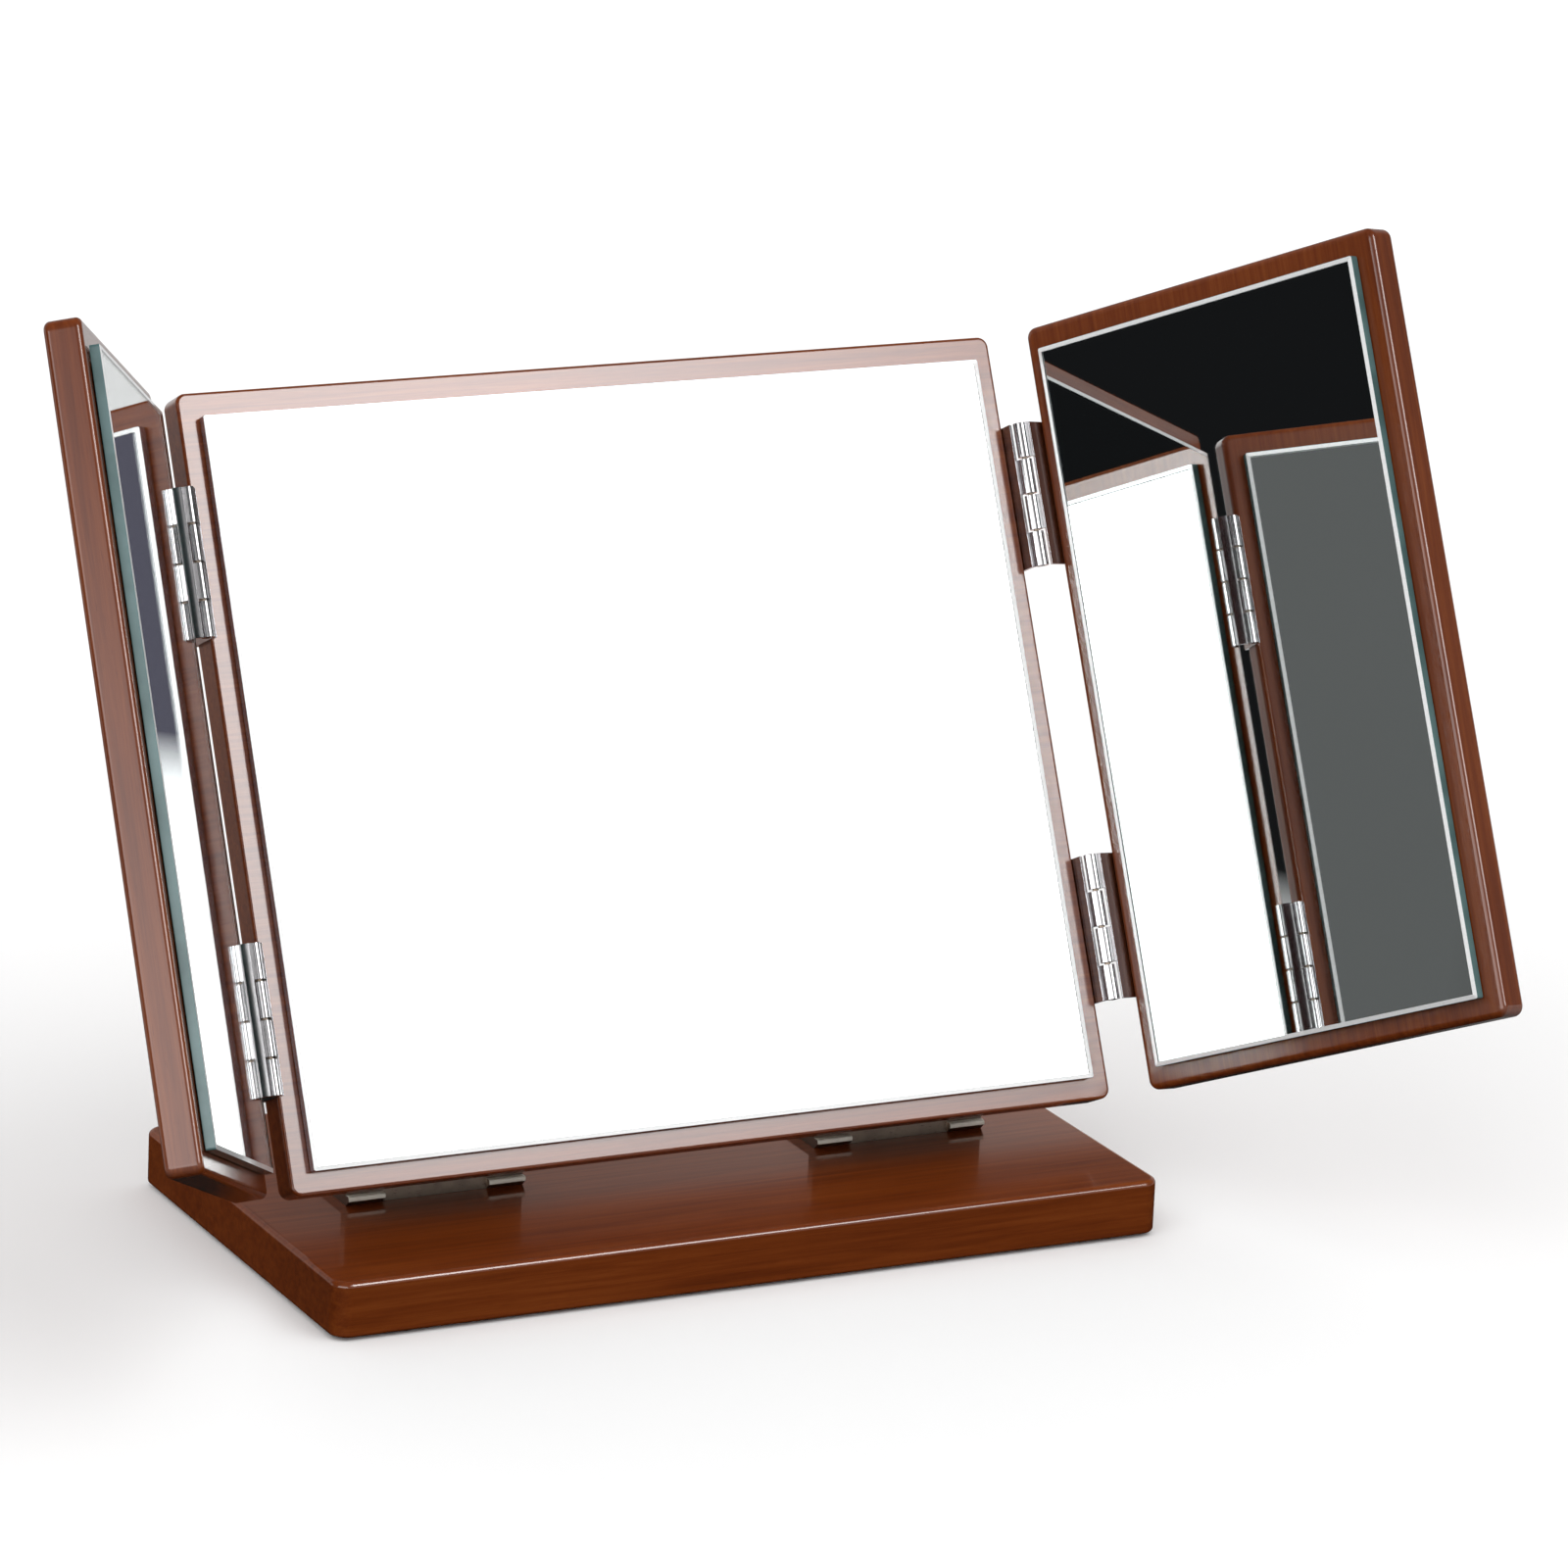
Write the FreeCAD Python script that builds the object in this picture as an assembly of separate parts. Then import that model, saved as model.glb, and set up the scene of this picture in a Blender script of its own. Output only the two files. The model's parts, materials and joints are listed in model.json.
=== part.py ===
"""Trifold vanity mirror: a lacquered wooden base board, a tilting centre panel and two folding wings.

World frame in millimetres: origin under the middle of the base, +X to the right, +Y to the back, +Z up.
Each panel is drawn upright in its own frame: front face on y = 0, bottom edge on z = 0, centred on x = 0.
"""
import FreeCAD, Part
import math
import os

V = FreeCAD.Vector

# ---- base board and its felt ----
BASE_WIDTH = 250.0
BASE_DEPTH = 136.0
BASE_THICKNESS = 15.5
BASE_CORNER_R = 5.0
BASE_TOP_R = 2.0
BASE_BOTTOM_R = 1.0
FELT_THICKNESS = 1.0
FELT_INSET = 5.0

# ---- wooden panels ----
PANEL_WIDTH = 250.0
PANEL_HEIGHT = 220.0
PANEL_THICKNESS = 10.0
PANEL_CORNER_R = 3.0
PANEL_EDGE_R = 1.2
WING_EDGE_GAP = 3.2             # between the free edges of the two wings when both are closed
TILT = 25.5                     # lean of the centre panel from upright, degrees
LEFT_FOLD = 61.0                # how far each wing stands forward of flat, degrees
RIGHT_FOLD = 66.0

# ---- mirror glass, stuck on the front of each panel with thin mounting tape ----
GLASS_THICKNESS = 2.8
GLASS_BEVEL_WIDTH = 1.8
GLASS_BEVEL_DEPTH = 0.4
RAIL_SIDE = 6.0                 # bare wood left beside the glass
RAIL_TOP = 7.0
RAIL_BOTTOM = 6.0
TAPE_THICKNESS = 0.4
TAPE_INSET = 4.0

# ---- tilt hinges: a bracket on the base, a leaf on the back of the centre panel, a pin between ----
PIVOT_Y = -14.0
PIVOT_ABOVE_BOTTOM = 20.6       # pin's height above the centre panel's bottom edge, along the panel
PANEL_SWING_CLEARANCE = 1.5     # under the panel's back bottom edge as it swings over the bracket's foot
BARREL_R = 5.5
BARREL_CLEARANCE = 0.5          # between the barrel and the panel's back
TILT_PIN_R = 2.5
TILT_PIN_FIT = 0.05
TILT_PIN_HEAD_LIP = 1.1
TILT_PIN_HEAD_T = 1.0
BRACKET_WIDTH = 53.0
BRACKET_FROM_END = 27.0         # base board left beside each bracket
BRACKET_T = 3.0
BRACKET_EDGE_R = 0.6
TOE_WIDTH = 11.0                # also the length of each outer knuckle
TOE_LENGTH = 5.8
REAR_FOOT_LENGTH = 18.5
MIDDLE_KNUCKLE_CLEARANCE = 1.0  # between the middle knuckle and the bracket below it
WASHER_T = 0.8
WASHER_INSET = 0.5              # washer's rim inside the barrel's
WASHER_GAP = 0.2
TILT_LEAF_HEIGHT = 32.0         # above the pin
TILT_LEAF_T = 3.0
TILT_LEAF_CORNER_R = 3.0        # also the bracket foot's rear corners

# ---- wing hinges: two small butt hinges on each side edge of the centre panel ----
HINGE_LENGTH = 41.4
HINGE_FROM_END = 47.6           # middle of each hinge from the panel's top or bottom edge
HINGE_AXIS_OUT = 2.8            # axis beyond the panel's side edge
HINGE_AXIS_FORWARD = 5.5        # axis in front of the panel's front face
KNUCKLE_R = 1.9
KNUCKLE_COUNT = 4
KNUCKLE_GAP = 0.2
KNUCKLE_CLEARANCE = 0.5         # between a barrel and the other leaf's plate
WEB_ANGLE = 30.0                # where the leaf's web leaves its barrel, from straight back
HINGE_PIN_R = 0.9
HINGE_PIN_FIT = 0.05
LEAF_T = 1.2
LEAF_BACK_MARGIN = 0.8          # bare wood left behind the leaf on the panel's edge

# ---- countersunk wood screws ----
BRACKET_SCREW_R = 1.75
BRACKET_SCREW_COVER = 4.5       # wood left under the tip
BRACKET_SCREW_MARGIN = 8.5      # from the bracket's side to the middle of the screw
TILT_LEAF_SCREW_R = 1.5
TILT_LEAF_SCREW_COVER = 3.5
TILT_LEAF_SCREW_MARGIN = 6.0
HINGE_SCREW_R = 1.1
HINGE_SCREW_LENGTH = 10.0
HINGE_SCREW_MARGIN = 6.7
SCREW_HEAD_RATIO = 1.85         # head's radius over the shank's
SCREW_HEAD_DEPTH_RATIO = 0.85   # head's depth over the shank's radius
SCREW_TIP_RATIO = 3.0           # tip's length over the shank's radius
RECESS_WIDTH_RATIO = 0.28       # cross recess, over the head's radius and depth
RECESS_SPAN_RATIO = 1.2
RECESS_DEPTH_RATIO = 0.6

# ---- worked out from the sizes above ----
BASE_TOP = FELT_THICKNESS + BASE_THICKNESS
WING_WIDTH = (PANEL_WIDTH - WING_EDGE_GAP) / 2
PIVOT_TO_BACK = BARREL_R + BARREL_CLEARANCE
BRACKET_TOP = BASE_TOP + BRACKET_T
PIVOT_Z = BRACKET_TOP + PANEL_SWING_CLEARANCE + math.hypot(PIVOT_TO_BACK, PIVOT_ABOVE_BOTTOM)
BRACKET_X = BASE_WIDTH / 2 - BRACKET_FROM_END - BRACKET_WIDTH / 2
UPRIGHT_BACK_Y = PIVOT_Y + BARREL_R
UPRIGHT_FRONT_Y = UPRIGHT_BACK_Y - BRACKET_T
FOOT_BACK_Y = UPRIGHT_BACK_Y + REAR_FOOT_LENGTH
TILT_LEAF_TOP = PIVOT_ABOVE_BOTTOM + TILT_LEAF_HEIGHT
MIDDLE_KNUCKLE_WIDTH = BRACKET_WIDTH - 2 * (TOE_WIDTH + WASHER_T + WASHER_GAP)
HINGE_AXIS_X = PANEL_WIDTH / 2 + HINGE_AXIS_OUT
HINGE_HEIGHTS = {"lower": HINGE_FROM_END, "upper": PANEL_HEIGHT - HINGE_FROM_END}
KNUCKLE_LENGTH = (HINGE_LENGTH - (KNUCKLE_COUNT - 1) * KNUCKLE_GAP) / KNUCKLE_COUNT
BRACKET_SCREW_LENGTH = BRACKET_T + BASE_THICKNESS - BRACKET_SCREW_COVER
TILT_LEAF_SCREW_LENGTH = TILT_LEAF_T + PANEL_THICKNESS - TILT_LEAF_SCREW_COVER
SIDES = {"left": -1, "right": 1}
FOLDS = {"left": LEFT_FOLD, "right": RIGHT_FOLD}


# ---- small helpers ----
def box(x0, x1, y0, y1, z0, z1):
    return Part.makeBox(x1 - x0, y1 - y0, z1 - z0, V(x0, y0, z0))


def rod(radius, start, end):
    axis = end - start
    return Part.makeCylinder(radius, axis.Length, start, axis)


def x_rod(radius, x0, x1, y, z):
    return rod(radius, V(x0, y, z), V(x1, y, z))


def flat_edges(shape, axis, value):
    """Edges of the shape that lie in the plane axis = value."""
    def lies_in_plane(edge):
        bounds = edge.BoundBox
        low, high = getattr(bounds, axis + "Min"), getattr(bounds, axis + "Max")
        return abs(low - value) < 1e-6 and abs(high - value) < 1e-6
    return [edge for edge in shape.Edges if lies_in_plane(edge)]


def straight_edges(shape, direction):
    """Straight edges of the shape that run along the direction."""
    def runs_along(edge):
        start, end = edge.Vertexes[0].Point, edge.Vertexes[-1].Point
        return abs((end - start).dot(direction)) > edge.Length - 1e-6
    return [edge for edge in shape.Edges if runs_along(edge)]


def mirrored(shape, side):
    return shape.mirror(V(0, 0, 0), V(1, 0, 0)) if side < 0 else shape


def placed(shape, placement):
    moved = shape.copy()
    moved.Placement = placement.multiply(moved.Placement)
    return moved


def turn_about(point, axis, angle):
    rotation = FreeCAD.Rotation(axis, angle)
    return FreeCAD.Placement(point - rotation.multVec(point), rotation)


def save(node, *solids):
    shape = solids[0] if len(solids) == 1 else Part.makeCompound(list(solids))
    shape.exportStep("parts/" + node + ".step")


# ---- where the panels stand ----
def panel_placement():
    """From the centre panel's own frame to the world, leaning back about the tilt pins."""
    lean = FreeCAD.Rotation(V(1, 0, 0), -TILT)
    pivot_in_panel = V(0, PANEL_THICKNESS + PIVOT_TO_BACK, PIVOT_ABOVE_BOTTOM)
    return FreeCAD.Placement(V(0, PIVOT_Y, PIVOT_Z) - lean.multVec(pivot_in_panel), lean)


def wing_placement(name):
    """From a wing drawn flat beside the centre panel to its folded place in the world."""
    side = SIDES[name]
    hinge_axis = V(side * HINGE_AXIS_X, -HINGE_AXIS_FORWARD, 0)
    return panel_placement().multiply(turn_about(hinge_axis, V(0, 0, 1), -side * FOLDS[name]))


# ---- screws ----
def screw_envelope(radius, length):
    """The screw without its recess, head up on z = 0, which is also the hole that it fills."""
    head_r = SCREW_HEAD_RATIO * radius
    head_end = -SCREW_HEAD_DEPTH_RATIO * radius
    tip_start = SCREW_TIP_RATIO * radius - length
    corners = [V(0, 0, 0), V(head_r, 0, 0), V(radius, 0, head_end), V(radius, 0, tip_start), V(0, 0, -length)]
    profile = Part.Face(Part.makePolygon(corners + corners[:1]))
    return profile.revolve(V(0, 0, 0), V(0, 0, 1), 360)


def cross_recess(radius):
    half_width = RECESS_WIDTH_RATIO * SCREW_HEAD_RATIO * radius / 2
    half_span = RECESS_SPAN_RATIO * SCREW_HEAD_RATIO * radius / 2
    depth = RECESS_DEPTH_RATIO * SCREW_HEAD_DEPTH_RATIO * radius
    slot = box(-half_span, half_span, -half_width, half_width, -depth, depth)
    return slot.fuse(slot.rotated(V(0, 0, 0), V(0, 0, 1), 90))


def screw_shapes(radius, length, heads, direction):
    """Holes and screws at each head point, driven along the direction."""
    aim = FreeCAD.Rotation(V(0, 0, -1), direction)
    places = [FreeCAD.Placement(head, aim) for head in heads]
    envelope = screw_envelope(radius, length)
    screw = envelope.cut(cross_recess(radius))
    holes = [placed(envelope, place) for place in places]
    screws = [placed(screw, place) for place in places]
    return holes, screws


# ---- wooden boards, felt, tape and glass ----
def rounded_board(width, depth, height, corner_r, edges_along):
    board = box(-width / 2, width / 2, 0, depth, 0, height)
    return board.makeFillet(corner_r, straight_edges(board, edges_along))


def base_board():
    board = rounded_board(BASE_WIDTH, BASE_DEPTH, BASE_THICKNESS, BASE_CORNER_R, V(0, 0, 1))
    board = board.makeFillet(BASE_TOP_R, flat_edges(board, "Z", BASE_THICKNESS))
    board = board.makeFillet(BASE_BOTTOM_R, flat_edges(board, "Z", 0))
    board.translate(V(0, -BASE_DEPTH / 2, FELT_THICKNESS))
    return board


def base_felt():
    width, depth = BASE_WIDTH - 2 * FELT_INSET, BASE_DEPTH - 2 * FELT_INSET
    felt = rounded_board(width, depth, FELT_THICKNESS, BASE_CORNER_R, V(0, 0, 1))
    felt.translate(V(0, -depth / 2, 0))
    return felt


def panel_board(width):
    board = rounded_board(width, PANEL_THICKNESS, PANEL_HEIGHT, PANEL_CORNER_R, V(0, 1, 0))
    rim = flat_edges(board, "Y", 0) + flat_edges(board, "Y", PANEL_THICKNESS)
    return board.makeFillet(PANEL_EDGE_R, rim)


def rectangle(x, z0, z1, y):
    corners = [V(-x, y, z0), V(x, y, z0), V(x, y, z1), V(-x, y, z1)]
    return Part.makePolygon(corners + corners[:1])


def panel_glass(width):
    """A sheet with a shallow polished bevel round its front, in front of the tape."""
    x, low, high = width / 2 - RAIL_SIDE, RAIL_BOTTOM, PANEL_HEIGHT - RAIL_TOP
    front = -TAPE_THICKNESS - GLASS_THICKNESS
    bevel_foot = front + GLASS_BEVEL_DEPTH
    sheet = box(-x, x, bevel_foot, -TAPE_THICKNESS, low, high)
    outer = rectangle(x, low, high, bevel_foot)
    inset = GLASS_BEVEL_WIDTH
    inner = rectangle(x - inset, low + inset, high - inset, front)
    return sheet.fuse(Part.makeLoft([outer, inner], True, True)).removeSplitter()


def panel_tape(width):
    x = width / 2 - RAIL_SIDE - TAPE_INSET
    return box(-x, x, -TAPE_THICKNESS, 0, RAIL_BOTTOM + TAPE_INSET, PANEL_HEIGHT - RAIL_TOP - TAPE_INSET)


# ---- tilt hinges ----
def tilt_bracket():
    """Foot with two toes, upright, and the two outer knuckles; its middle on x = 0, in world y and z."""
    half = BRACKET_WIDTH / 2
    inner = half - TOE_WIDTH
    foot = box(-half, half, UPRIGHT_FRONT_Y, FOOT_BACK_Y, BASE_TOP, BRACKET_TOP)
    rear_corners = [edge for edge in straight_edges(foot, V(0, 0, 1)) if edge.BoundBox.YMin > UPRIGHT_BACK_Y]
    foot = foot.makeFillet(TILT_LEAF_CORNER_R, rear_corners)
    upright = box(-half, half, UPRIGHT_FRONT_Y, UPRIGHT_BACK_Y, BASE_TOP, PIVOT_Z)
    middle_gap = box(-inner, inner, PIVOT_Y - BARREL_R, UPRIGHT_BACK_Y,
                     PIVOT_Z - BARREL_R - MIDDLE_KNUCKLE_CLEARANCE, PIVOT_Z + BARREL_R)
    shape = foot.fuse(upright).cut(middle_gap)
    for x0, x1 in ((-half, -inner), (inner, half)):
        toe = box(x0, x1, UPRIGHT_FRONT_Y - TOE_LENGTH, UPRIGHT_FRONT_Y, BASE_TOP, BRACKET_TOP)
        shape = shape.fuse(toe).fuse(x_rod(BARREL_R, x0, x1, PIVOT_Y, PIVOT_Z))
    shape = shape.removeSplitter()
    toe_rim = [edge for edge in flat_edges(shape, "Y", UPRIGHT_FRONT_Y - TOE_LENGTH)
               if edge.BoundBox.ZMin > BRACKET_TOP - 1e-6]
    shape = shape.makeFillet(BRACKET_EDGE_R, toe_rim)
    return shape.cut(x_rod(TILT_PIN_R, -half, half, PIVOT_Y, PIVOT_Z))


def bracket_screw_heads():
    y = (UPRIGHT_BACK_Y + FOOT_BACK_Y) / 2
    reach = BRACKET_WIDTH / 2 - BRACKET_SCREW_MARGIN
    return [V(x, y, BRACKET_TOP) for x in (-reach, 0, reach)]


def tilt_pin():
    half = BRACKET_WIDTH / 2
    shank = x_rod(TILT_PIN_R, -half, half, PIVOT_Y, PIVOT_Z)
    head_r = TILT_PIN_R + TILT_PIN_HEAD_LIP
    heads = [x_rod(head_r, x, x + TILT_PIN_HEAD_T, PIVOT_Y, PIVOT_Z) for x in (-half - TILT_PIN_HEAD_T, half)]
    return shank.multiFuse(heads)


def tilt_washers():
    inner = BRACKET_WIDTH / 2 - TOE_WIDTH
    washers = []
    for x0 in (-inner, inner - WASHER_T):
        ring = x_rod(BARREL_R - WASHER_INSET, x0, x0 + WASHER_T, PIVOT_Y, PIVOT_Z)
        washers.append(ring.cut(x_rod(TILT_PIN_R, x0, x0 + WASHER_T, PIVOT_Y, PIVOT_Z)))
    return washers


def tilt_leaf():
    """Plate on the panel's back with the middle knuckle, in the centre panel's frame."""
    half = MIDDLE_KNUCKLE_WIDTH / 2
    pin_y = PANEL_THICKNESS + PIVOT_TO_BACK
    plate_back = PANEL_THICKNESS + TILT_LEAF_T
    plate = box(-half, half, PANEL_THICKNESS, plate_back, PIVOT_ABOVE_BOTTOM, TILT_LEAF_TOP)
    corners = [edge for edge in straight_edges(plate, V(0, 1, 0)) if edge.BoundBox.ZMin > PIVOT_ABOVE_BOTTOM]
    plate = plate.makeFillet(TILT_LEAF_CORNER_R, corners)
    knuckle = x_rod(BARREL_R, -half, half, pin_y, PIVOT_ABOVE_BOTTOM)
    bore = x_rod(TILT_PIN_R + TILT_PIN_FIT, -half, half, pin_y, PIVOT_ABOVE_BOTTOM)
    return plate.fuse(knuckle).removeSplitter().cut(bore)


def tilt_leaf_screw_heads():
    reach = MIDDLE_KNUCKLE_WIDTH / 2 - TILT_LEAF_SCREW_MARGIN
    lower = PIVOT_ABOVE_BOTTOM + BARREL_R + TILT_LEAF_SCREW_MARGIN
    upper = TILT_LEAF_TOP - TILT_LEAF_SCREW_MARGIN
    return [V(x, PANEL_THICKNESS + TILT_LEAF_T, z) for x in (-reach, reach) for z in (lower, upper)]


# ---- wing hinges, drawn flat open on the right-hand edge of the centre panel ----
def knuckle_spans(owner):
    """Bottom of each knuckle that the leaf owns; the topmost one belongs to the wing."""
    pitch = KNUCKLE_LENGTH + KNUCKLE_GAP
    first = 0 if owner == "panel" else 1
    return [index * pitch - HINGE_LENGTH / 2 for index in range(first, KNUCKLE_COUNT, 2)]


def butt_leaf(owner):
    """The centre panel's leaf, with the hinge's axis on the origin, or the wing's, its mirror image."""
    edge_x, face_x = -HINGE_AXIS_OUT, LEAF_T - HINGE_AXIS_OUT
    reach = KNUCKLE_R + KNUCKLE_CLEARANCE
    plate_y = math.sqrt(max(reach ** 2 - face_x ** 2, 0))
    back_y = HINGE_AXIS_FORWARD + PANEL_THICKNESS - LEAF_BACK_MARGIN
    leaf = box(edge_x, face_x, plate_y, back_y, -HINGE_LENGTH / 2, HINGE_LENGTH / 2)
    web_y = plate_y + LEAF_T / 2
    angle = math.radians(WEB_ANGLE)
    shoulder = V(-KNUCKLE_R * math.sin(angle), KNUCKLE_R * math.cos(angle), 0)
    web = [V(edge_x, web_y, 0), V(-KNUCKLE_R, 0, 0), V(0, 0, 0), shoulder, V(face_x, web_y, 0)]
    knuckle = Part.Face(Part.makePolygon(web + web[:1])).extrude(V(0, 0, KNUCKLE_LENGTH))
    knuckle = knuckle.fuse(Part.makeCylinder(KNUCKLE_R, KNUCKLE_LENGTH))
    for z in knuckle_spans(owner):
        leaf = leaf.fuse(knuckle.translated(V(0, 0, z)))
    fit = 0 if owner == "panel" else HINGE_PIN_FIT
    bore = rod(HINGE_PIN_R + fit, V(0, 0, -HINGE_LENGTH), V(0, 0, HINGE_LENGTH))
    leaf = leaf.removeSplitter().cut(bore)
    return leaf if owner == "panel" else mirrored(leaf, -1)


def leaf_screw_heads(owner, height):
    """Head points on the leaf's outer face, in the centre panel's frame."""
    out = LEAF_T if owner == "panel" else 2 * HINGE_AXIS_OUT - LEAF_T
    y = PANEL_THICKNESS / 2
    reach = HINGE_LENGTH / 2 - HINGE_SCREW_MARGIN
    return [V(PANEL_WIDTH / 2 + out, y, height + step) for step in (-reach, 0, reach)]


def hinge_pin():
    return rod(HINGE_PIN_R, V(0, 0, -HINGE_LENGTH / 2), V(0, 0, HINGE_LENGTH / 2))


def at_hinge(shape, height):
    return shape.translated(V(HINGE_AXIS_X, -HINGE_AXIS_FORWARD, height))


# ---- sub-assemblies ----
def build_base():
    """The board, the felt, both brackets with their pins and washers, and the bracket screws."""
    board = base_board()
    heads = bracket_screw_heads()
    holes, screws = screw_shapes(BRACKET_SCREW_R, BRACKET_SCREW_LENGTH, heads, V(0, 0, -1))
    bracket = tilt_bracket().cut(Part.makeCompound(holes))
    all_screws = []
    for name, side in SIDES.items():
        shift = V(side * BRACKET_X, 0, 0)
        board = board.cut(Part.makeCompound(holes).translated(shift))
        save(name + "_tilt_bracket", bracket.translated(shift))
        save(name + "_tilt_pin", tilt_pin().translated(shift))
        save(name + "_tilt_washers", *[washer.translated(shift) for washer in tilt_washers()])
        all_screws += [screw.translated(shift) for screw in screws]
    save("base_board", board)
    save("base_felt", base_felt())
    save("bracket_screws", *all_screws)


def build_centre():
    """The centre panel with its mirror, the tilt hinges' leaves and its half of the wing hinges."""
    stand = panel_placement()
    board = panel_board(PANEL_WIDTH)
    heads = tilt_leaf_screw_heads()
    back_holes, back_screws = screw_shapes(TILT_LEAF_SCREW_R, TILT_LEAF_SCREW_LENGTH, heads, V(0, -1, 0))
    leaf = tilt_leaf().cut(Part.makeCompound(back_holes))
    leaf_screws, edge_screws = [], []
    for name, side in SIDES.items():
        shift = V(side * BRACKET_X, 0, 0)
        board = board.cut(Part.makeCompound(back_holes).translated(shift))
        save(name + "_tilt_leaf", placed(leaf.translated(shift), stand))
        leaf_screws += [placed(screw.translated(shift), stand) for screw in back_screws]
        for level, height in HINGE_HEIGHTS.items():
            heads = leaf_screw_heads("panel", height)
            holes, screws = screw_shapes(HINGE_SCREW_R, HINGE_SCREW_LENGTH, heads, V(-1, 0, 0))
            hinge_leaf = at_hinge(butt_leaf("panel"), height).cut(Part.makeCompound(holes))
            board = board.cut(Part.makeCompound([mirrored(hole, side) for hole in holes]))
            node = name + "_" + level + "_hinge"
            save(node + "_panel_leaf", placed(mirrored(hinge_leaf, side), stand))
            save(node + "_pin", placed(mirrored(at_hinge(hinge_pin(), height), side), stand))
            edge_screws += [placed(mirrored(screw, side), stand) for screw in screws]
    save("centre_panel", placed(board, stand))
    save("centre_mirror_tape", placed(panel_tape(PANEL_WIDTH), stand))
    save("centre_mirror_glass", placed(panel_glass(PANEL_WIDTH), stand))
    save("tilt_leaf_screws", *leaf_screws)
    save("centre_hinge_screws", *edge_screws)


def build_wing(name):
    """One wing: its board and mirror, and the wing leaves of its two hinges with their screws."""
    side = SIDES[name]
    place = wing_placement(name)
    wing_middle = V(PANEL_WIDTH / 2 + 2 * HINGE_AXIS_OUT + WING_WIDTH / 2, 0, 0)
    board = panel_board(WING_WIDTH).translated(wing_middle)
    screws = []
    for level, height in HINGE_HEIGHTS.items():
        heads = leaf_screw_heads("wing", height)
        holes, level_screws = screw_shapes(HINGE_SCREW_R, HINGE_SCREW_LENGTH, heads, V(1, 0, 0))
        board = board.cut(Part.makeCompound(holes))
        leaf = at_hinge(butt_leaf("wing"), height).cut(Part.makeCompound(holes))
        save(name + "_" + level + "_hinge_wing_leaf", placed(mirrored(leaf, side), place))
        screws += [placed(mirrored(screw, side), place) for screw in level_screws]
    save(name + "_wing_panel", placed(mirrored(board, side), place))
    for piece, shape in (("tape", panel_tape(WING_WIDTH)), ("glass", panel_glass(WING_WIDTH))):
        save(name + "_wing_mirror_" + piece, placed(mirrored(shape.translated(wing_middle), side), place))
    save(name + "_wing_hinge_screws", *screws)


os.makedirs("parts", exist_ok=True)
build_base()
build_centre()
for wing in SIDES:
    build_wing(wing)
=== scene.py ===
"""Looks of a trifold vanity mirror: lacquered boards, bevelled mirrors, nickel hinges and a plain studio.

Lengths are written in millimetres and turned into metres where a mesh is made. Each flat part is drawn in its
own frame, with its front face on y = 0, its bottom edge on z = 0 and its middle on x = 0, and then placed.
The studio is written in metres and degrees: azimuth 0 is the front and 90 the right-hand side.
"""
import json
import logging
import math
from dataclasses import dataclass, field, replace
from enum import Enum
from typing import Any, Callable, Sequence

import bmesh
import bpy
from mathutils import Matrix, Vector


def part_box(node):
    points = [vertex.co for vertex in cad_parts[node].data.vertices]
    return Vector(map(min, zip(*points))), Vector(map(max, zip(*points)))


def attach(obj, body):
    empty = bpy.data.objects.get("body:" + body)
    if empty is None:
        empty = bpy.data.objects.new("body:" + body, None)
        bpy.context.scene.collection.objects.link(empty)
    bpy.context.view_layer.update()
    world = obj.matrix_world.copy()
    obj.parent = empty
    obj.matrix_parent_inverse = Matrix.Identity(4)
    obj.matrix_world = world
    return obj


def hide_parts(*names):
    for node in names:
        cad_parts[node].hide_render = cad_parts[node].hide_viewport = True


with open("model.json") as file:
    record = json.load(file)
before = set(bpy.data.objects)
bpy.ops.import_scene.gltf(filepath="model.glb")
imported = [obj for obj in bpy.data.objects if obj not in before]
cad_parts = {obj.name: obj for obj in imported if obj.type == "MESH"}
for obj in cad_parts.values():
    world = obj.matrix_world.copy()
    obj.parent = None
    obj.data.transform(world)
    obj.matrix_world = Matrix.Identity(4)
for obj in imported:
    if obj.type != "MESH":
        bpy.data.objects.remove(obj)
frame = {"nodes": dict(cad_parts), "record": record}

Colour = tuple[float, float, float]
Point2 = tuple[float, float]
Settings = dict[str, Any] | None
Inputs = dict[str | int, Any] | None
Material = bpy.types.Material
Mesh = bmesh.types.BMesh
Loops = Sequence[Sequence[Vector]]
Grid = Sequence[Sequence[tuple[Vector, float]]]
Piece = bpy.types.Object
Socket = bpy.types.NodeSocket

MM = 0.001
AT_ORIGIN = Matrix.Identity(4)
NOWHERE = Vector((0.0, 0.0, 0.0))
WELD = 1e-4  # in millimetres, for meshes drawn here
CAD_WELD = 1e-6  # in metres, for the frame's meshes
CAD_FLAT_ANGLE = math.radians(1.0)
BEVEL_ANGLE = math.radians(35.0)
BEVEL_SEGMENTS = 2
ANY_TURN = math.pi / 2  # a cross recess looks the same again after this
log = logging.getLogger("vanity_mirror")


class Side(Enum):
    """The two sides that carry a wing."""

    LEFT = -1
    RIGHT = 1

    @property
    def word(self) -> str:
        """The side's name, as the nodes and bodies spell it."""
        return self.name.lower()


class Owner(Enum):
    """Which half of a wing hinge a leaf belongs to."""

    PANEL = "panel"
    WING = "wing"


# ---- node toolkit


def arithmetic(operation: str, swapped: bool = False) -> Callable[["Value", "Value | float"], "Value"]:
    """The method behind an operator.

    Args:
        operation: the Math node's operation.
        swapped: whether the operands change places, for a plain number that comes first.

    Returns:
        The method.
    """
    def method(value: "Value", other: "Value | float") -> "Value":
        """Adds the operator's Math node."""
        return value.calculated(operation, *((other, value) if swapped else (value, other)))

    return method


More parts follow.
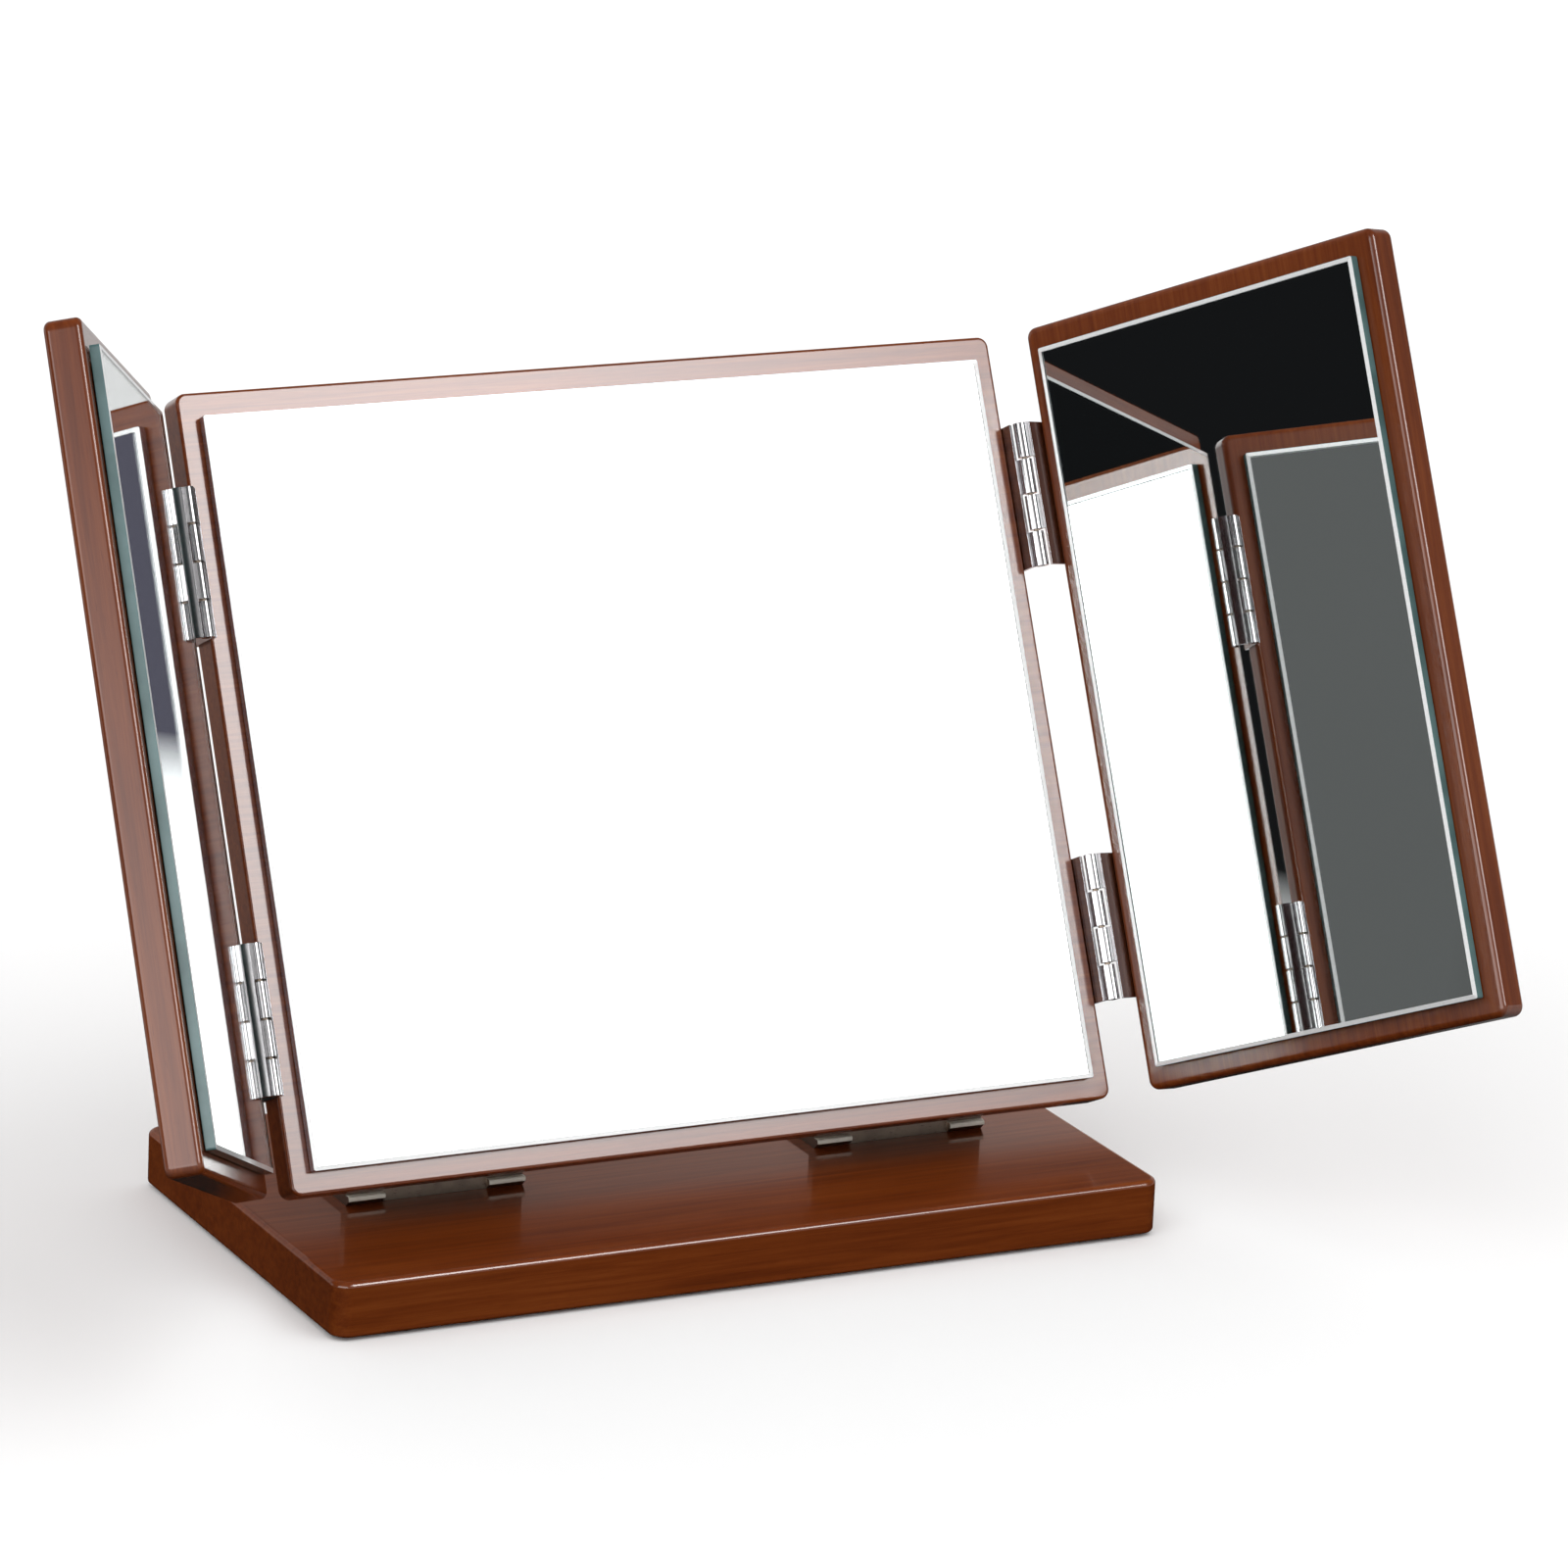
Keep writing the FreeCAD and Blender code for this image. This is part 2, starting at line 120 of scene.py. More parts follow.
class Value:
    """A number that varies over a surface: a socket that takes part in ordinary arithmetic."""

    def __init__(self, graph: "Graph", socket: Socket) -> None:
        """Wraps one output socket of a tree."""
        self.graph = graph
        self.socket = socket

    def calculated(self, operation: str, *operands: "Value | float", clamp: bool = False) -> "Value":
        """Adds one Math node.

        Args:
            operation: the node's operation.
            operands: its inputs, in order.
            clamp: whether the result stays between 0 and 1.

        Returns:
            The node's result.
        """
        settings = {"operation": operation, "use_clamp": clamp}
        return self.graph.value("ShaderNodeMath", settings, dict(enumerate(operands)))

    __add__, __radd__ = arithmetic("ADD"), arithmetic("ADD", swapped=True)
    __sub__, __rsub__ = arithmetic("SUBTRACT"), arithmetic("SUBTRACT", swapped=True)
    __mul__, __rmul__ = arithmetic("MULTIPLY"), arithmetic("MULTIPLY", swapped=True)
    larger = arithmetic("MAXIMUM")

    def clamped(self) -> "Value":
        """The value, kept between 0 and 1."""
        return self.calculated("ADD", self, 0.0, clamp=True)

    def ramp(self, low: float, high: float) -> "Value":
        """A smooth step.

        Args:
            low: the value at which the result is 0.
            high: the value at which the result is 1.

        Returns:
            A value from 0 to 1.
        """
        settings = {"interpolation_type": "SMOOTHSTEP"}
        return self.graph.value("ShaderNodeMapRange", settings, {"Value": self, "From Min": low, "From Max": high})


class Graph:
    """A node tree, and the one method that adds its nodes."""

    def __init__(self, tree: bpy.types.NodeTree) -> None:
        """Takes a tree and empties it."""
        self.tree = tree
        tree.nodes.clear()

    def node(self, kind: str, settings: Settings = None, inputs: Inputs = None) -> bpy.types.Node:
        """Adds any node.

        Args:
            kind: the node's type.
            settings: its properties, set first.
            inputs: what its sockets hold, by name or number: a link or a plain value.

        Returns:
            The new node.
        """
        new = self.tree.nodes.new(kind)
        for key, setting in (settings or {}).items():
            setattr(new, key, setting)
        for key, value in (inputs or {}).items():
            self.feed(new.inputs[key], value)
        return new

    def feed(self, socket: Socket, value: Any) -> None:
        """Links or sets one input socket.

        Args:
            socket: the input.
            value: a Value, an output socket, a colour, a vector or a number.
        """
        source = value.socket if isinstance(value, Value) else value
        if isinstance(source, Socket):
            self.tree.links.new(source, socket)
        else:
            socket.default_value = (*source, 1.0) if socket.type == "RGBA" else source

    def value(self, kind: str, settings: Settings = None, inputs: Inputs = None, output: str | int = 0) -> Value:
        """Adds any node and wraps one of its outputs."""
        return Value(self, self.node(kind, settings, inputs).outputs[output])

    def seen(self) -> Value:
        """1 to the camera, to reflections and through glass, and 0 to scattered light."""
        rays = ("Is Camera Ray", "Is Glossy Ray", "Is Transmission Ray")
        camera, glossy, through = (self.value("ShaderNodeLightPath", output=ray) for ray in rays)
        return camera.larger(glossy).larger(through)


class Shader(Graph):
    """One material and the tree that it is built from."""

    def __init__(self, name: str) -> None:
        """Makes an empty material of that name, with its output and its main surface shader."""
        self.material = bpy.data.materials.new(name)
        self.material.use_nodes = True
        super().__init__(self.material.node_tree)
        self.surface = self.node("ShaderNodeBsdfPrincipled")
        self.output = self.node("ShaderNodeOutputMaterial", inputs={"Surface": self.surface.outputs["BSDF"]})

    def mix(self, factor: Value | float, first: Any, second: Any) -> Socket:
        """Mixes two colours.

        Args:
            factor: the share of the second colour.
            first: a colour or a colour socket.
            second: a colour or a colour socket.

        Returns:
            The mixed colour.
        """
        mixer = self.node("ShaderNodeMix", {"data_type": "RGBA", "blend_type": "MIX"}, {0: factor})
        colours = [socket for socket in mixer.inputs if socket.type == "RGBA"]
        for socket, colour in zip(colours, (first, second)):
            self.feed(socket, colour)
        return next(socket for socket in mixer.outputs if socket.type == "RGBA")

    def toned(self, tone: Value, stops: Sequence[tuple[float, Colour]]) -> Socket:
        """Looks a colour up between stops.

        Args:
            tone: where to look, from 0 to 1.
            stops: the (position, colour) pairs, in order.

        Returns:
            The colour.
        """
        ramp = self.node("ShaderNodeValToRGB", inputs={0: tone})
        elements = ramp.color_ramp.elements
        while len(elements) < len(stops):
            elements.new(0.5)
        for element, (position, colour) in zip(elements, stops):
            element.position = position
            element.color = (*colour, 1.0)
        return ramp.outputs["Color"]

    def local_mm(self, place: Matrix) -> Socket:
        """Object coordinates seen from a part's own frame, in millimetres."""
        inverse = place.inverted()
        return self.node("ShaderNodeMapping", {"vector_type": "POINT"}, {
            "Vector": self.node("ShaderNodeTexCoord").outputs["Object"],
            "Location": inverse.translation / MM,
            "Rotation": inverse.to_euler(),
            "Scale": (1 / MM, 1 / MM, 1 / MM),
        }).outputs["Vector"]

    def noise(
        self, local: Socket, scale: Colour | float, detail: float = 2.0, roughness: float = 0.5, bend: float = 0.0
    ) -> Value:
        """Fractal noise about 0.5.

        Args:
            local: the coordinates.
            scale: the cells to a millimetre along each axis, or along all of them.
            detail: how many finer octaves it has.
            roughness: how strong they are.
            bend: how much it is distorted.

        Returns:
            The noise.
        """
        cells = (scale,) * 3 if isinstance(scale, float) else scale
        stretched = self.node("ShaderNodeVectorMath", {"operation": "MULTIPLY"}, {0: local, 1: cells})
        return self.value("ShaderNodeTexNoise", {"noise_dimensions": "3D"}, {
            "Vector": stretched.outputs[0], "Scale": 1.0, "Detail": detail, "Roughness": roughness,
            "Distortion": bend})

    def bump(self, height: Value, distance: float) -> Socket:
        """The normal over a height from 0 to 1, where 1 stands for that many millimetres."""
        inputs = {"Height": height, "Distance": distance * MM, "Strength": 1.0}
        return self.node("ShaderNodeBump", None, inputs).outputs["Normal"]

    def set(self, **inputs: Any) -> Material:
        """Feeds the surface's own sockets, where an underscore stands for a space, and gives the material."""
        for name, value in inputs.items():
            self.feed(self.surface.inputs[name.replace("_", " ")], value)
        return self.material


# ---- finishes


@dataclass(frozen=True)
class Finish:
    """A procedural look: two colours that one noise mixes, and another noise in the roughness and the relief.

    A noise is given by its scale, detail and roughness, as Shader.noise takes them. Limits are the values of a noise
    that count as 0 and as 1; without them, it counts as it is.
    """

    first: Colour
    second: Colour
    clouds: tuple[Colour | float, ...]
    fine: tuple[Colour | float, ...]
    cloud_limits: Point2 | None = None
    fine_limits: Point2 | None = None
    roughness: float = 0.5
    roughness_rise: float = 0.0
    relief: float = 0.0
    metallic: float = 0.0
    others: tuple[tuple[str, float], ...] = ()

    def made(self, name: str, place: Matrix = AT_ORIGIN) -> Material:
        """The finish on one piece.

        Args:
            name: the material's name.
            place: the part's frame, which the pattern follows.

        Returns:
            The material.
        """
        shader = Shader(name)
        local = shader.local_mm(place)
        clouds, fine = (
            noise.ramp(*limits) if limits else noise
            for noise, limits in ((shader.noise(local, *self.clouds), self.cloud_limits),
                                  (shader.noise(local, *self.fine), self.fine_limits)))
        if self.relief:
            shader.set(Normal=shader.bump(fine, self.relief))
        return shader.set(
            Base_Color=shader.mix(clouds, self.first, self.second),
            Roughness=self.roughness + self.roughness_rise * fine,
            Metallic=self.metallic,
            **dict(self.others),
        )


@dataclass(frozen=True)
class LacqueredWood:
    """Red-brown stained wood under clear gloss lacquer, with its grain along the part's own x axis."""

    dark: Colour = (0.092, 0.0155, 0.0026)
    middle: Colour = (0.165, 0.0330, 0.0050)
    light: Colour = (0.235, 0.0560, 0.0100)
    grain_length: float = 70.0
    grain_width: float = 2.2
    pore_length: float = 6.0
    pore_width: float = 0.22
    lacquer_ripple: float = 0.016
    gloss_blur: float = 0.17

    def made(self, name: str, place: Matrix) -> Material:
        """The finish on one board: figure, fibres and pores in its colour, and a coat with a slow ripple.

        Args:
            name: the material's name.
            place: the board's frame, which the grain follows.

        Returns:
            The material.
        """
        shader = Shader(name)
        local = shader.local_mm(place)
        along, across, fine = 1 / self.grain_length, 1 / self.grain_width, 1 / self.pore_width
        figure = shader.noise(local, (along, across, across), detail=5.0, roughness=0.62, bend=0.6)
        cloud = shader.noise(local, (0.012, 0.03, 0.03))
        fibres = shader.noise(local, (0.09, 3.2, 3.2), detail=3.0, roughness=0.7)
        pores = shader.noise(local, (1 / self.pore_length, fine, fine), detail=1.0).ramp(0.66, 0.76)
        ripple = shader.noise(local, (0.05, 0.45, 0.45))
        tone = (figure * 0.62 + cloud * 0.26 + fibres * 0.20 - 0.04).clamped()
        colour = shader.toned(tone, ((0.30, self.dark), (0.50, self.middle), (0.72, self.light)))
        height = ripple * 0.9 + fibres * 0.03 - pores * 0.03
        return shader.set(
            Base_Color=shader.mix(pores * 0.55, colour, self.dark),
            Roughness=0.30 + 0.10 * fibres,
            Specular_IOR_Level=0.06,
            Coat_Weight=1.0,
            Coat_Roughness=self.gloss_blur,
            Coat_IOR=1.5,
            Normal=shader.bump(height, self.lacquer_ripple),
        )


def plated(
    tint: Colour, roughness: float, relief: float = 0.0004, brush: Colour = (0.4, 6.0, 6.0), metallic: float = 1.0
) -> Finish:
    """Plated or bare metal with dull stains, and with brushed lines along its part's own frame.

    Args:
        tint: its colour.
        roughness: its roughness.
        relief: the depth of the lines, in millimetres.
        brush: the lines to a millimetre along each axis.
        metallic: how far it is bare metal.

    Returns:
        The finish.
    """
    return Finish(tint, tuple(0.80 * part for part in tint), clouds=(0.15, 3.0), cloud_limits=(0.35, 0.75),
                  fine=(brush, 3.0, 0.6), roughness=0.7 * roughness, roughness_rise=0.6 * roughness, relief=relief,
                  metallic=metallic)


# Hinges and pins; brackets, tilt leaves, tilt washers and pin shanks, which are satin nickel painted dark brown as
# painted shade; the toes' ends, whose faces facing up and forward are painted pale as painted light; and screws.
BRIGHT_NICKEL = plated((0.48, 0.47, 0.48), 0.16, relief=0.00012, brush=(0.4, 0.4, 6.0))
SHADE_PAINTED_NICKEL = plated((0.215, 0.17, 0.135), 0.30, relief=0.0006)
TOE_PAINTED_LIGHT = plated((0.90, 0.87, 0.76), 0.5, relief=0.002, metallic=0.15)
SCREW_NICKEL = plated((0.66, 0.64, 0.60), 0.28, brush=(1.5, 1.5, 1.5))
# The silver layer, the polished face, the bevel, painted near white as a painted reflection of the light that a
# polished bevel catches, and the sides, green from the light that comes along them.
SILVERING = Finish((0.93, 0.95, 0.95), (0.91605, 0.93575, 0.93575), clouds=(0.03, 3.0), fine=(0.03, 3.0),
                   roughness=0.0, metallic=1.0)
CLEAR_GLASS = Finish((0.985, 1.0, 0.995), (0.985, 1.0, 0.995), clouds=(0.02,), fine=((0.02, 0.02, 0.05), 4.0, 0.6),
                     fine_limits=(0.62, 0.85), roughness=0.0, roughness_rise=0.012,
                     others=(("IOR", 1.5), ("Transmission_Weight", 1.0)))
# Painted reflection: a near-white, nearly opaque bevel that stands in for the light that the polished bevel reflects.
BEVEL_PAINTED_GLINT = Finish((0.97, 0.98, 0.98), (0.9118, 0.9212, 0.9212), clouds=(1.5, 3.0), cloud_limits=(0.3, 0.7),
                      fine=(1.5, 3.0), roughness=0.25, roughness_rise=0.2, metallic=0.25,
                      others=(("Coat_Weight", 1.0), ("Coat_Roughness", 0.1)))
GLASS_EDGE = Finish((0.055, 0.128, 0.130), (0.115, 0.225, 0.230), clouds=(0.05, 3.0), cloud_limits=(0.3, 0.7),
                    fine=(4.0,), roughness=0.18, roughness_rise=0.12, relief=0.01, others=(("Coat_Weight", 0.2),))
# The centre mirror's sides: the same glass as the wings', painted pale pinkish grey and nearly metallic as a painted
# glow and reflection.
CENTRE_EDGE_PAINTED_GLOW = replace(GLASS_EDGE, first=(0.52, 0.46, 0.51), second=(0.70, 0.64, 0.69), metallic=0.85)
# The felt under the base and the foam behind the mirrors.
FELT = Finish((0.020, 0.013, 0.010), (0.060, 0.042, 0.034), clouds=(2.5, 5.0, 0.75), cloud_limits=(0.35, 0.7),
              fine=(2.5, 5.0, 0.75), roughness=0.95, relief=0.3, others=(("Sheen_Weight", 0.4),))
FOAM_TAPE = Finish((0.012, 0.012, 0.013), (0.030, 0.030, 0.0325), clouds=(5.0,), fine=(5.0,), roughness=0.85,
                   relief=0.05)


# ---- mesh toolkit


def shifted(x: float, y: float, z: float) -> Matrix:
    """A shift by millimetres."""
    return Matrix.Translation(Vector((x, y, z)) * MM)


def turned(degrees: float, axis: str) -> Matrix:
    """A turn about an axis."""
    return Matrix.Rotation(math.radians(degrees), 4, axis)


def arc(centre: Point2, radius: float, start: float, end: float, steps: int) -> list[Point2]:
    """Points along an arc.

    Args:
        centre: its middle.
        radius: its radius.
        start: its first angle, in degrees.
        end: its last angle, in degrees.
        steps: how many chords it has.

    Returns:
        steps + 1 points.
    """
    angles = [math.radians(start + (end - start) * step / steps) for step in range(steps + 1)]
    return [(centre[0] + radius * math.cos(angle), centre[1] + radius * math.sin(angle)) for angle in angles]


def slab_loops(
    width: float, height: float, radius: float, profile: Sequence[Point2], steps: int, lift: float = 0.0
) -> list[list[Vector]]:
    """The outlines of an upright slab with rounded corners.

    Args:
        width: its width.
        height: its height.
        radius: its corners' radius.
        profile: for each outline, how far every side is moved in, and its y.
        steps: how many chords a corner has.
        lift: the height of the slab's bottom edge.

    Returns:
        The outlines, in the profile's order.
    """
    loops = []
    for inset, y in profile:
        corner = max(radius - inset, 0.0)
        reach = inset + corner
        side, low, high = width / 2 - reach, lift + reach, lift + height - reach
        quarters = (((side, low), -90), ((side, high), 0), ((-side, high), 90), ((-side, low), 180))
        loops.append([Vector((x, y, z)) for centre, start in quarters
                      for x, z in arc(centre, corner, start, start + 90, steps)])
    return loops


def in_scene(name: str, data: bpy.types.ID) -> Piece:
    """Makes an object of some data and links it to the scene."""
    made = bpy.data.objects.new(name, data)
    bpy.context.scene.collection.objects.link(made)
    return made


def finished(mesh: Mesh, name: str, place: Matrix, materials: Sequence[Material], smooth: bool = True) -> Piece:
    """Turns a mesh drawn in millimetres into a piece with its place in its mesh.

    Args:
        mesh: the mesh, in its part's own frame; it is freed.
        name: the piece's name.
        place: the part's place.
        materials: the piece's materials, in slot order.
        smooth: whether its faces are shaded smooth, with flat faces leading.

    Returns:
        The new piece.
    """
    bmesh.ops.remove_doubles(mesh, verts=mesh.verts, dist=WELD)
    bmesh.ops.recalc_face_normals(mesh, faces=mesh.faces)
    mesh.transform(place @ Matrix.Scale(MM, 4))
    data = bpy.data.meshes.new(name)
    mesh.to_mesh(data)
    mesh.free()
    for material in materials:
        data.materials.append(material)
    piece = in_scene(name, data)
    if smooth:
        shade_smooth(piece)
    return piece


def shade_smooth(piece: Piece) -> None:
    """Shades a piece smooth."""
    piece.data.shade_smooth()
    weigh_normals(piece)


def weigh_normals(piece: Piece) -> None:
    """Lets a piece's large flat faces lead its smooth shading, and makes that part of its mesh."""
    piece.modifiers.new("weighted", "WEIGHTED_NORMAL").keep_sharp = True
    bake_modifiers(piece)


def bake_modifiers(piece: Piece) -> None:
    """Replaces a piece's mesh with what its modifiers make of it, and removes them."""
    graph = bpy.context.evaluated_depsgraph_get()
    graph.update()
    old = piece.data
    piece.data = bpy.data.meshes.new_from_object(piece.evaluated_get(graph))
    piece.modifiers.clear()
    piece.data.name = piece.name
    if old.users == 0:
        bpy.data.meshes.remove(old)


def bevelled(piece: Piece, width: float) -> Piece:
    """Rounds a piece's sharp edges.

    Args:
        piece: the piece, changed in place.
        width: the bevel's width, in millimetres.

    Returns:
        The same piece.
    """
    bevel = piece.modifiers.new("bevel", "BEVEL")
    bevel.width = width * MM
    bevel.segments = BEVEL_SEGMENTS
    bevel.limit_method = "ANGLE"
    bevel.angle_limit = BEVEL_ANGLE
    bevel.harden_normals = False
    bake_modifiers(piece)
    shade_smooth(piece)
    return piece


def combined(piece: Piece, operation: str, other: Piece) -> None:
    """Adds another piece's shape to a piece, or cuts it away, and removes that other piece."""
    boolean = piece.modifiers.new("boolean", "BOOLEAN")
    boolean.operation = operation
    boolean.solver = "EXACT"
    boolean.object = other
    bake_modifiers(piece)
    bpy.data.objects.remove(other)


def banded(mesh: Mesh, loops: Loops, slots: Sequence[int] = ()) -> list[list[bmesh.types.BMVert]]:
    """Joins closed loops of equal length into bands.

    Args:
        mesh: the mesh that gets them.
        loops: the loops' points, in order.
        slots: the material slot of each band, or nothing for slot 0.

    Returns:
        The loops' vertices.
    """
    rows = [[mesh.verts.new(point) for point in loop] for loop in loops]
    for row, following, slot in zip(rows, rows[1:], slots or [0] * len(rows)):
        for index in range(len(row)):
            after = (index + 1) % len(row)
            band = mesh.faces.new((row[index], row[after], following[after], following[index]))
            band.material_index = slot
    return rows


def lofted(loops: Loops, slots: Sequence[int] = (), ends: tuple[int, int] = (0, 0)) -> Mesh:
    """Joins closed loops of equal length into a solid.

    Args:
        loops: the loops' points, in order.
        slots: the material slot of each band, or nothing for slot 0.
        ends: the slots of the faces that close the first and the last loop.

    Returns:
        The mesh.
    """
    mesh = bmesh.new()
    rows = banded(mesh, loops, slots)
    for row, slot in zip((rows[0], rows[-1]), ends):
        mesh.faces.new(row).material_index = slot
    return mesh


def revolved(profile: Sequence[Point2], steps: int) -> Mesh:
    """Turns a profile of (radius, height) points about the z axis; its first and last points lie on the axis."""
    mesh = bmesh.new()
    circles = [(arc((0.0, 0.0), radius, 0, 360 - 360 / steps, steps - 1), height) for radius, height in profile[1:-1]]
    rows = banded(mesh, [[Vector((x, y, height)) for x, y in circle] for circle, height in circles])
    for row, (_, height) in ((rows[0], profile[0]), (rows[-1], profile[-1])):
        pole = mesh.verts.new((0.0, 0.0, height))
        for index in range(steps):
            mesh.faces.new((row[index], row[(index + 1) % steps], pole))
    return mesh


def prism(outline: Sequence[Point2], low: float, high: float) -> Mesh:
    """A flat outline in x and y, made solid between two heights."""
    return lofted([[Vector((x, y, z)) for x, y in outline] for z in (low, high)])


def joined(pieces: Sequence[Piece], name: str) -> Piece:
    """Joins pieces of the same materials into the first one, under a new name."""
    with bpy.context.temp_override(active_object=pieces[0], selected_editable_objects=list(pieces)):
        bpy.ops.object.join()
    pieces[0].name = name
    pieces[0].data.name = name
    return pieces[0]


def turn_outwards(piece: Piece) -> None:
    """Recalculates a mirrored piece's face directions."""
    mesh = bmesh.new()
    mesh.from_mesh(piece.data)
    bmesh.ops.recalc_face_normals(mesh, faces=mesh.faces)
    mesh.to_mesh(piece.data)
    mesh.free()
    weigh_normals(piece)


def softened_node(
    node: str, name: str, width: float, finish: Material, reshape: Callable[[Mesh], None] | None = None
) -> Piece:
    """Copies a CAD node's shape into a new piece with its sharp edges rounded.

    Args:
        node: the node.
        name: the new piece's name.
        width: the rounding's width, in millimetres.
        finish: its material.
        reshape: what is done to the mesh, in millimetres, before its edges are rounded.

    Returns:
        The new piece.
    """
    mesh = bmesh.new()
    mesh.from_mesh(frame["nodes"][node].data)
    bmesh.ops.remove_doubles(mesh, verts=mesh.verts, dist=CAD_WELD)
    bmesh.ops.dissolve_limit(mesh, angle_limit=CAD_FLAT_ANGLE, verts=mesh.verts, edges=mesh.edges)
    mesh.transform(Matrix.Scale(1 / MM, 4))
    if reshape:
        reshape(mesh)
    return bevelled(finished(mesh, name, AT_ORIGIN, [finish], smooth=False), width)


def hand_over(piece: Piece, body: str, slot: str, *nodes: str) -> Piece:
    """Makes a finished piece ride on its body, in place of the nodes that it stands for.

    Args:
        piece: the piece.
        body: the body that it moves with.
        slot: the record's material slot; not used.
        nodes: the CAD nodes that it replaces.

    Returns:
        The same piece.
    """
    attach(piece, body)
    if nodes:
        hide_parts(*nodes)
    log.info("%s rides on %s with %d faces", piece.name, body, len(piece.data.polygons))
    return piece


def dress(node: str, material: Material) -> None:
    """Gives a CAD node a better material in each of its slots."""
    for slot in frame["nodes"][node].material_slots:
        slot.material = material
    log.info("%s keeps its CAD shape", node)


# ---- repeats made by geometry nodes


class RowTree(Graph):
    """A geometry tree that repeats one piece along a straight row, each copy turned a little."""

    SOCKETS = {"Piece": "Object", "Count": "Int", "Start": "Vector", "Pitch": "Vector", "Turn": "Float",
               "Seed": "Int", "Finish": "Material"}

    def __init__(self) -> None:
        """Builds the tree, with its named inputs."""
        super().__init__(bpy.data.node_groups.new("row_of_pieces", "GeometryNodeTree"))
        add = self.tree.interface.new_socket
        self.inputs = {name: add(name, in_out="INPUT", socket_type="NodeSocket" + kind).identifier
                       for name, kind in self.SOCKETS.items()}
        add("Geometry", in_out="OUTPUT", socket_type="NodeSocketGeometry")
        self._wire()

    def _wire(self) -> None:
        """Links the row: points on a line, a copy on each, its own turn, then one real mesh."""
        given = self.node("NodeGroupInput").outputs
        line = self.node("GeometryNodeMeshLine", {"mode": "OFFSET"}, {
            "Count": given["Count"], "Start Location": given["Start"], "Offset": given["Pitch"]})
        source = self.node("GeometryNodeObjectInfo", {"transform_space": "ORIGINAL"}, {"Object": given["Piece"]})
        copies = self.node("GeometryNodeInstanceOnPoints", None, {
            "Points": line.outputs["Mesh"], "Instance": source.outputs["Geometry"]})
        share = self.value("FunctionNodeRandomValue", {"data_type": "FLOAT"}, {"Seed": given["Seed"]}, output=1)
        spin = self.node("ShaderNodeCombineXYZ", None, {"Z": share * Value(self, given["Turn"])})
        spun = self.node("GeometryNodeRotateInstances", None, {
            "Instances": copies.outputs["Instances"], "Rotation": spin.outputs[0]})
        real = self.node("GeometryNodeRealizeInstances", None, {"Geometry": spun.outputs["Instances"]})
        dressed = self.node("GeometryNodeSetMaterial", None, {
            "Geometry": real.outputs["Geometry"], "Material": given["Finish"]})
        self.node("NodeGroupOutput", None, {"Geometry": dressed.outputs["Geometry"]})

    def row(
        self, master: Piece, name: str, count: int, start: Vector, pitch: Vector, place: Matrix, finish: Material,
        turn: float = 0.0, seed: int = 1,
    ) -> Piece:
        """Repeats a piece.

        Args:
            master: the piece to repeat, drawn in metres about its own origin.
            name: the result's name.
            count: how many copies.
            start: the first copy's place in the row's frame, in millimetres.
            pitch: the step from one copy to the next, in millimetres.
            place: the row's frame.
            finish: the material of every copy.
            turn: the most that a copy is turned about its own z axis, in radians.
            seed: the seed of those turns.

        Returns:
            One plain mesh piece.
        """
        piece = in_scene(name, bpy.data.meshes.new(name))
        modifier = piece.modifiers.new("row", "NODES")
        modifier.node_group = self.tree
        given = {"Piece": master, "Count": count, "Start": start * MM, "Pitch": pitch * MM,
                 "Turn": turn, "Seed": seed, "Finish": finish}
        for key, value in given.items():
            modifier[self.inputs[key]] = value
        bake_modifiers(piece)
        piece.data.transform(place)
        return piece


# ---- places


@dataclass(frozen=True)
class Places:
    """Where the mirror's flat parts stand, worked out from the frame's joints and the parts' sizes."""

    panel_width: float = 250.0
    panel_height: float = 220.0
    panel_thickness: float = 10.0
    wing_width: float = 123.4
    axis_out: float = 2.8
    axis_forward: float = 5.5

    @staticmethod
    def joint(name: str) -> dict[str, Any]:
        """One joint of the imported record."""
        return next(joint for joint in frame["record"]["behaviour"]["joints"] if joint["name"] == name)

    def centre(self) -> Matrix:
        """The centre panel's frame."""
        fold = self.joint("right_wing_fold")
        up = -Vector(fold["axis"]).normalized()
        right = Vector((1.0, 0.0, 0.0))
        turn = Matrix((right, up.cross(right), up)).transposed()
        on_axis = Vector((self.panel_width / 2 + self.axis_out, -self.axis_forward, self.panel_height / 2)) * MM
        return Matrix.Translation(Vector(fold["pos_m"]) - turn @ on_axis) @ turn.to_4x4()

    def hinge(self, side: Side, height: float) -> Matrix:
        """A wing hinge's frame on its axis, at a height along the panel, with x away from the centre."""
        x = side.value * (self.panel_width / 2 + self.axis_out)
        return self.centre() @ shifted(x, -self.axis_forward, height)

    def folded(self, side: Side, height: float) -> Matrix:
        """The same frame, turned with the wing."""
        fold = 180.0 - self.joint(side.word + "_wing_fold")["range_deg"][1]
        return self.hinge(side, height) @ turned(-side.value * fold, "Z")

    def wing(self, side: Side) -> Matrix:
        """A wing's own frame, at the middle of its board."""
        x = side.value * (self.axis_out + self.wing_width / 2)
        return self.folded(side, 0.0) @ shifted(x, self.axis_forward, 0.0)


# ---- boards and mirrors


